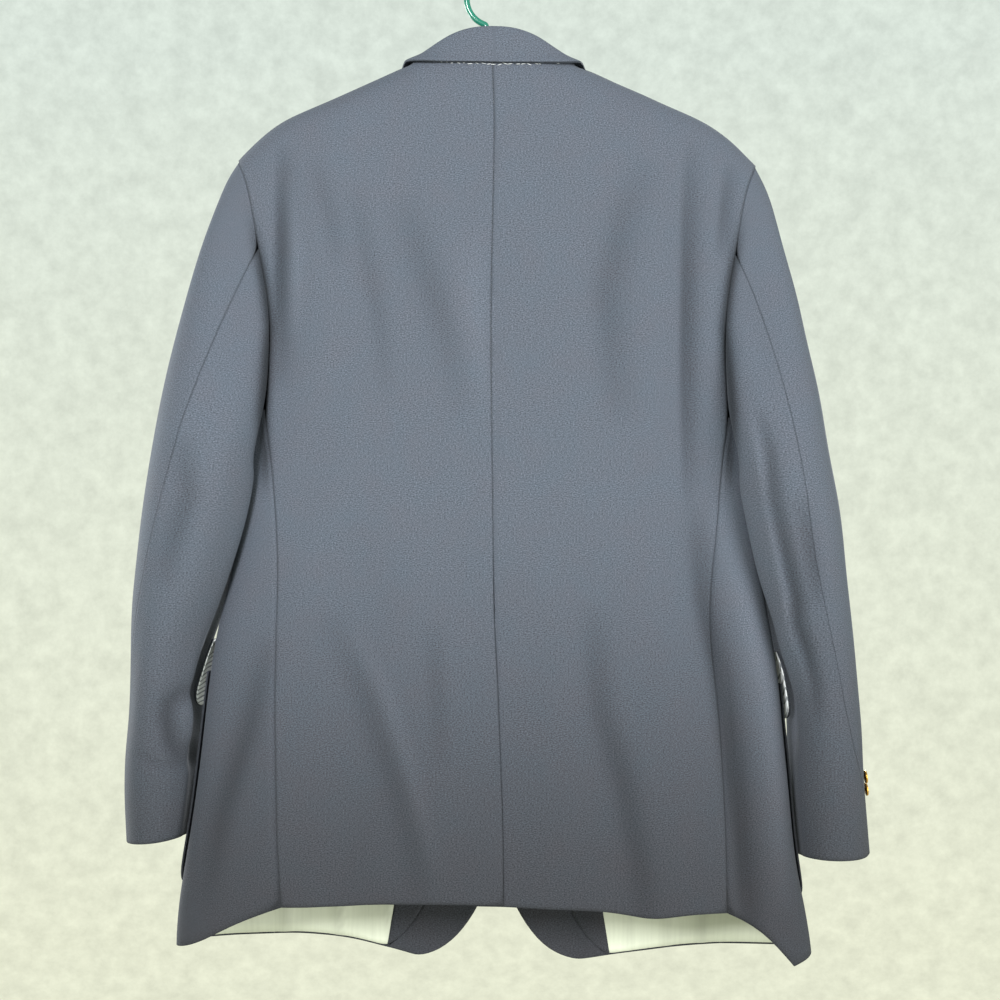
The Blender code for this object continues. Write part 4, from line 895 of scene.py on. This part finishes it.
def swept_rod(name, points, radius, closed):
    """A round rod along a smooth path, as a mesh."""
    curve = bpy.data.curves.new(name, "CURVE")
    curve.dimensions = "3D"
    spline = curve.splines.new("NURBS")
    spline.points.add(len(points) - 1)
    for spot, point in zip(spline.points, points):
        spot.co = (*point, 1.0)
    spline.use_cyclic_u = closed
    spline.use_endpoint_u = not closed
    spline.order_u = 3
    spline.resolution_u = 4
    curve.bevel_depth = radius
    curve.bevel_resolution = 6
    curve.use_fill_caps = True
    line = bpy.data.objects.new(name, curve)
    bpy.context.scene.collection.objects.link(line)
    graph = bpy.context.evaluated_depsgraph_get()
    mesh = bpy.data.meshes.new_from_object(line.evaluated_get(graph))
    bpy.data.objects.remove(line)
    return mesh


class BLAZER_OT_hanger(bpy.types.Operator):
    """Makes the hanger: its hook, its stem, its arms and its bar"""

    bl_idname = "blazer.hanger"
    bl_label = "Hanger"

    def execute(self, context):
        start, end = HOOK_ENDS
        line = []
        for step in range(31):
            turn = math.radians(start + (end - start) * step / 30)
            line.append((HOOK_RADIUS * math.cos(turn), 0.0, HOOK_CENTRE_Z + HOOK_RADIUS * math.sin(turn)))
        foot = line[-1]
        for step in range(1, 8):
            share = step / 7
            ease = share * share * (3 - 2 * share)
            line.append((foot[0] * (1 - ease), 0.0, foot[2] + (STEM_FOOT_Z - foot[2]) * share))
        hanger = bmesh.new()
        hanger.from_mesh(swept_rod("hook", line, HOOK_ROD, False))
        hanger.from_mesh(swept_rod("arms", arms_line(), ARM_ROD, True))
        bmesh.ops.create_uvsphere(
            hanger, u_segments=16, v_segments=10, radius=HOOK_ROD, matrix=Matrix.Translation(line[0]),
        )
        mesh = bpy.data.meshes.new("hanger")
        hanger.to_mesh(mesh)
        hanger.free()
        add_piece("hanger_moulding", mesh, "moulded_polypropylene", ["hanger"])
        return {"FINISHED"}


BUTTON_PROFILE = (
    # share of the radius, height above the seat as a share of the radius
    (0.0, 0.60), (0.25, 0.59), (0.50, 0.555), (0.68, 0.50), (0.76, 0.465), (0.80, 0.43), (0.83, 0.45),
    (0.88, 0.475), (0.94, 0.45), (0.985, 0.38), (1.0, 0.29), (0.98, 0.20), (0.90, 0.16), (0.60, 0.15), (0.30, 0.15),
    (0.26, 0.10), (0.26, 0.0), (0.0, 0.0),
)


def on_cloth(nodes, face, x, z):
    """The point and the way out where these CAD nodes' cloth lies at (x, z), seen from the back or the front."""
    way = 1 if face == "back" else -1
    hits = []
    for node in nodes:
        mesh = frame["nodes"][node].data
        solid = BVHTree.FromPolygons([vert.co for vert in mesh.vertices], [part.vertices for part in mesh.polygons])
        for beside in SEAM_TRIES:
            point, normal, _, _ = solid.ray_cast(Vector((x + beside, way, z)), Vector((0, -way, 0)))
            if point:
                hits.append((point.y * way, point, normal))
    _, point, normal = max(hits, key=lambda item: item[0])
    return point, normal


class BLAZER_OT_stitches(bpy.types.Operator):
    """Makes the pale felling stitches that show under the collar, and the buttonholes"""

    bl_idname = "blazer.stitches"
    bl_label = "Stitches"

    def execute(self, context):
        thread = bmesh.new()
        for x, z, length, turn in COLLAR_STITCHES:
            point, normal = on_cloth(("back_left", "back_right"), "back", x / 1000, z / 1000)
            along_seam = Matrix.Rotation(math.radians(turn), 3, normal) @ Vector((1, 0, 0)).cross(normal).cross(normal)
            spin = along_seam.to_track_quat("Z", "Y").to_matrix().to_4x4()
            bmesh.ops.create_uvsphere(
                thread, u_segments=6, v_segments=6, radius=1.0,
                matrix=Matrix.Translation(point + STITCH_LIFT * normal) @ spin
                @ Matrix.Diagonal((STITCH_HALF_WIDTH, STITCH_HALF_HEIGHT, length / 2000, 1.0)),
            )
        mesh = bpy.data.meshes.new("collar_stitches")
        thread.to_mesh(mesh)
        thread.free()
        add_piece("collar_stitches", mesh, "cotton_thread", [])

        holes = bmesh.new()
        for name in ("button_front_upper", "button_front_lower"):
            _, (x, _, z), _ = button_place(name)
            line = []
            for step in range(24):
                turn = 2 * math.pi * step / 24
                across = x + BUTTONHOLE_SHIFT + BUTTONHOLE_HALF_LENGTH * math.cos(turn)
                height = z + BUTTONHOLE_HALF_WIDTH * math.sin(turn)
                point, normal = on_cloth(("front_left",), "front", across, height)
                line.append(point + STITCH_LIFT * normal)
            holes.from_mesh(swept_rod("buttonhole", line, BUTTONHOLE_THREAD, True))
        mesh = bpy.data.meshes.new("buttonholes")
        holes.to_mesh(mesh)
        holes.free()
        add_piece("buttonholes", mesh, "worsted_wool", [])
        return {"FINISHED"}


class BLAZER_OT_buttons(bpy.types.Operator):
    """Makes the domed brass buttons"""

    bl_idname = "blazer.buttons"
    bl_label = "Buttons"

    def execute(self, context):
        for name in BUTTONS:
            radius, seat, way = button_place(name)
            button = bmesh.new()
            line = [button.verts.new((across * radius, 0.0, up * radius)) for across, up in BUTTON_PROFILE]
            edges = [button.edges.new(pair) for pair in zip(line, line[1:])]
            bmesh.ops.spin(
                button, geom=line + edges, axis=(0, 0, 1), cent=(0, 0, 0), angle=2 * math.pi, steps=36,
                use_merge=True,
            )
            bmesh.ops.remove_doubles(button, verts=button.verts[:], dist=0.00001)
            bmesh.ops.recalc_face_normals(button, faces=button.faces[:])
            turn = way.to_track_quat("Z", "Y").to_matrix().to_4x4()
            bmesh.ops.transform(button, matrix=Matrix.Translation(seat) @ turn, verts=button.verts[:])
            mesh = bpy.data.meshes.new(name)
            button.to_mesh(mesh)
            button.free()
            add_piece(f"{name}_brass", mesh, "stamped_brass", [name])
        return {"FINISHED"}


# Stage


def wall_material(settings):
    """Lime-washed plaster, brushed on and evenly lit from near by: pale, softly mottled in blotches 71.4 mm wide.

    It only glows, as a wall does that its own lamps wash, so the blazer's lights draw no patches on it.
    """
    material, tree = new_material("washed_studio_wall")
    place = add_node(tree, "ShaderNodeTexCoord")
    split = add_node(tree, "ShaderNodeSeparateXYZ", links={0: place.outputs["Object"]})
    height = add_node(
        tree, "ShaderNodeMapRange", values={"From Min": -2.0, "From Max": 1.2}, links={"Value": split.outputs["Z"]},
    )
    tone = add_node(
        tree, "ShaderNodeMix", {"data_type": "RGBA"}, {6: settings.floor, 7: settings.wall}, {0: height.outputs[0]},
    )
    mottle = add_node(
        tree, "ShaderNodeTexNoise", values={"Scale": per_metre(71.4), "Detail": 4.0, "Roughness": 0.7},
        links={0: place.outputs["Object"]},
    )
    uneven = add_node(
        tree, "ShaderNodeMapRange", values={"From Min": 0.3, "From Max": 0.7, "To Min": 0.91, "To Max": 1.10},
        links={"Value": mottle.outputs["Fac"]},
    )
    painted = add_node(
        tree, "ShaderNodeMix", {"data_type": "RGBA", "blend_type": "MULTIPLY"}, {0: 1.0},
        {6: tone.outputs[2], 7: uneven.outputs[0]},
    )
    shader = add_node(
        tree, "ShaderNodeEmission", values={"Strength": settings.glow}, links={"Color": painted.outputs[2]},
    )
    finish_material(tree, shader)
    return material


def add_room(settings):
    """The studio: a round floor that sweeps up into its wall."""
    radius, floor_z = settings.radius, settings.floor_z
    foot = radius - ROOM_BEND
    room = bmesh.new()
    line = [room.verts.new((0, 0, floor_z)), room.verts.new((foot, 0, floor_z))]
    for step in range(1, 13):
        turn = math.pi / 2 * step / 12
        line.append(room.verts.new((
            foot + ROOM_BEND * math.sin(turn), 0, floor_z + ROOM_BEND - ROOM_BEND * math.cos(turn),
        )))
    line.append(room.verts.new((radius, 0, floor_z + ROOM_HEIGHT)))
    edges = [room.edges.new(pair) for pair in zip(line, line[1:])]
    bmesh.ops.spin(
        room, geom=line + edges, axis=(0, 0, 1), cent=(0, 0, 0), angle=2 * math.pi, steps=64, use_merge=True,
    )
    bmesh.ops.remove_doubles(room, verts=room.verts[:], dist=0.0001)
    bmesh.ops.recalc_face_normals(room, faces=room.faces[:])
    mesh = bpy.data.meshes.new("studio_floor")
    room.to_mesh(mesh)
    room.free()
    mesh.shade_smooth()
    mesh.materials.append(wall_material(settings))
    floor = bpy.data.objects.new("studio_floor", mesh)
    bpy.context.scene.collection.objects.link(floor)


def add_lights():
    """Soft lights before and behind the blazer, and an even glow from the sky."""
    for name, spot, watts, size in LIGHTS:
        lamp = bpy.data.lights.new(name, "AREA")
        lamp.energy = watts
        lamp.size = size
        light = bpy.data.objects.new(name, lamp)
        light.location = spot
        light.rotation_euler = (Vector(spot) - Vector(LIGHTS_FACE)).to_track_quat("Z", "Y").to_euler()
        bpy.context.scene.collection.objects.link(light)
    world = bpy.data.worlds.new("studio")
    bpy.context.scene.world = world
    world.use_nodes = True
    sky = world.node_tree.nodes["Background"]
    sky.inputs["Color"].default_value = linear(SKY_COLOUR)
    sky.inputs["Strength"].default_value = SKY_STRENGTH


def add_camera():
    """The camera, where the photograph was taken from: behind the blazer and level."""
    lens = bpy.data.cameras.new("photo_camera")
    lens.lens = CAMERA_LENS
    lens.sensor_width = 36.0
    lens.clip_start = 0.01
    camera = bpy.data.objects.new("photo_camera", lens)
    camera.location = CAMERA_PLACE
    camera.rotation_euler = (math.pi / 2, 0, math.pi)
    bpy.context.scene.collection.objects.link(camera)
    bpy.context.scene.camera = camera


class BLAZER_OT_stage(bpy.types.Operator):
    """Makes the pale studio, its soft lights and the camera"""

    bl_idname = "blazer.stage"
    bl_label = "Stage"

    def execute(self, context):
        add_room(context.scene.blazer_stage)
        add_lights()
        add_camera()
        context.scene.view_settings.view_transform = "Standard"
        return {"FINISHED"}


OPERATORS = (
    BLAZER_OT_hanger, BLAZER_OT_body, BLAZER_OT_sleeves, BLAZER_OT_collar, BLAZER_OT_inside, BLAZER_OT_pockets,
    BLAZER_OT_stitches, BLAZER_OT_buttons, BLAZER_OT_stage,
)
SETTINGS = {"blazer_cloth": ClothSettings, "blazer_trim": TrimSettings, "blazer_stage": StageSettings}


class BLAZER_PT_panel(bpy.types.Panel):
    """Lists the blazer's settings and its makers"""

    bl_idname = "BLAZER_PT_panel"
    bl_label = "Blazer"
    bl_space_type = "VIEW_3D"
    bl_region_type = "UI"
    bl_category = "Blazer"

    def draw(self, context):
        for name, group in SETTINGS.items():
            box = self.layout.box()
            for prop in group.__annotations__:
                box.prop(getattr(context.scene, name), prop)
        for operator in OPERATORS:
            self.layout.operator(operator.bl_idname)


def register():
    for group in SETTINGS.values():
        bpy.utils.register_class(group)
    for name, group in SETTINGS.items():
        setattr(bpy.types.Scene, name, bpy.props.PointerProperty(type=group))
    for item in (*OPERATORS, BLAZER_PT_panel):
        bpy.utils.register_class(item)


def unregister():
    for item in reversed((*OPERATORS, BLAZER_PT_panel)):
        bpy.utils.unregister_class(item)
    for name, group in SETTINGS.items():
        delattr(bpy.types.Scene, name)
        bpy.utils.unregister_class(group)


def main():
    register()
    for operator in OPERATORS:
        family, name = operator.bl_idname.split(".")
        getattr(getattr(bpy.ops, family), name)()
    bpy.context.view_layer.update()


if __name__ == "__main__":
    main()
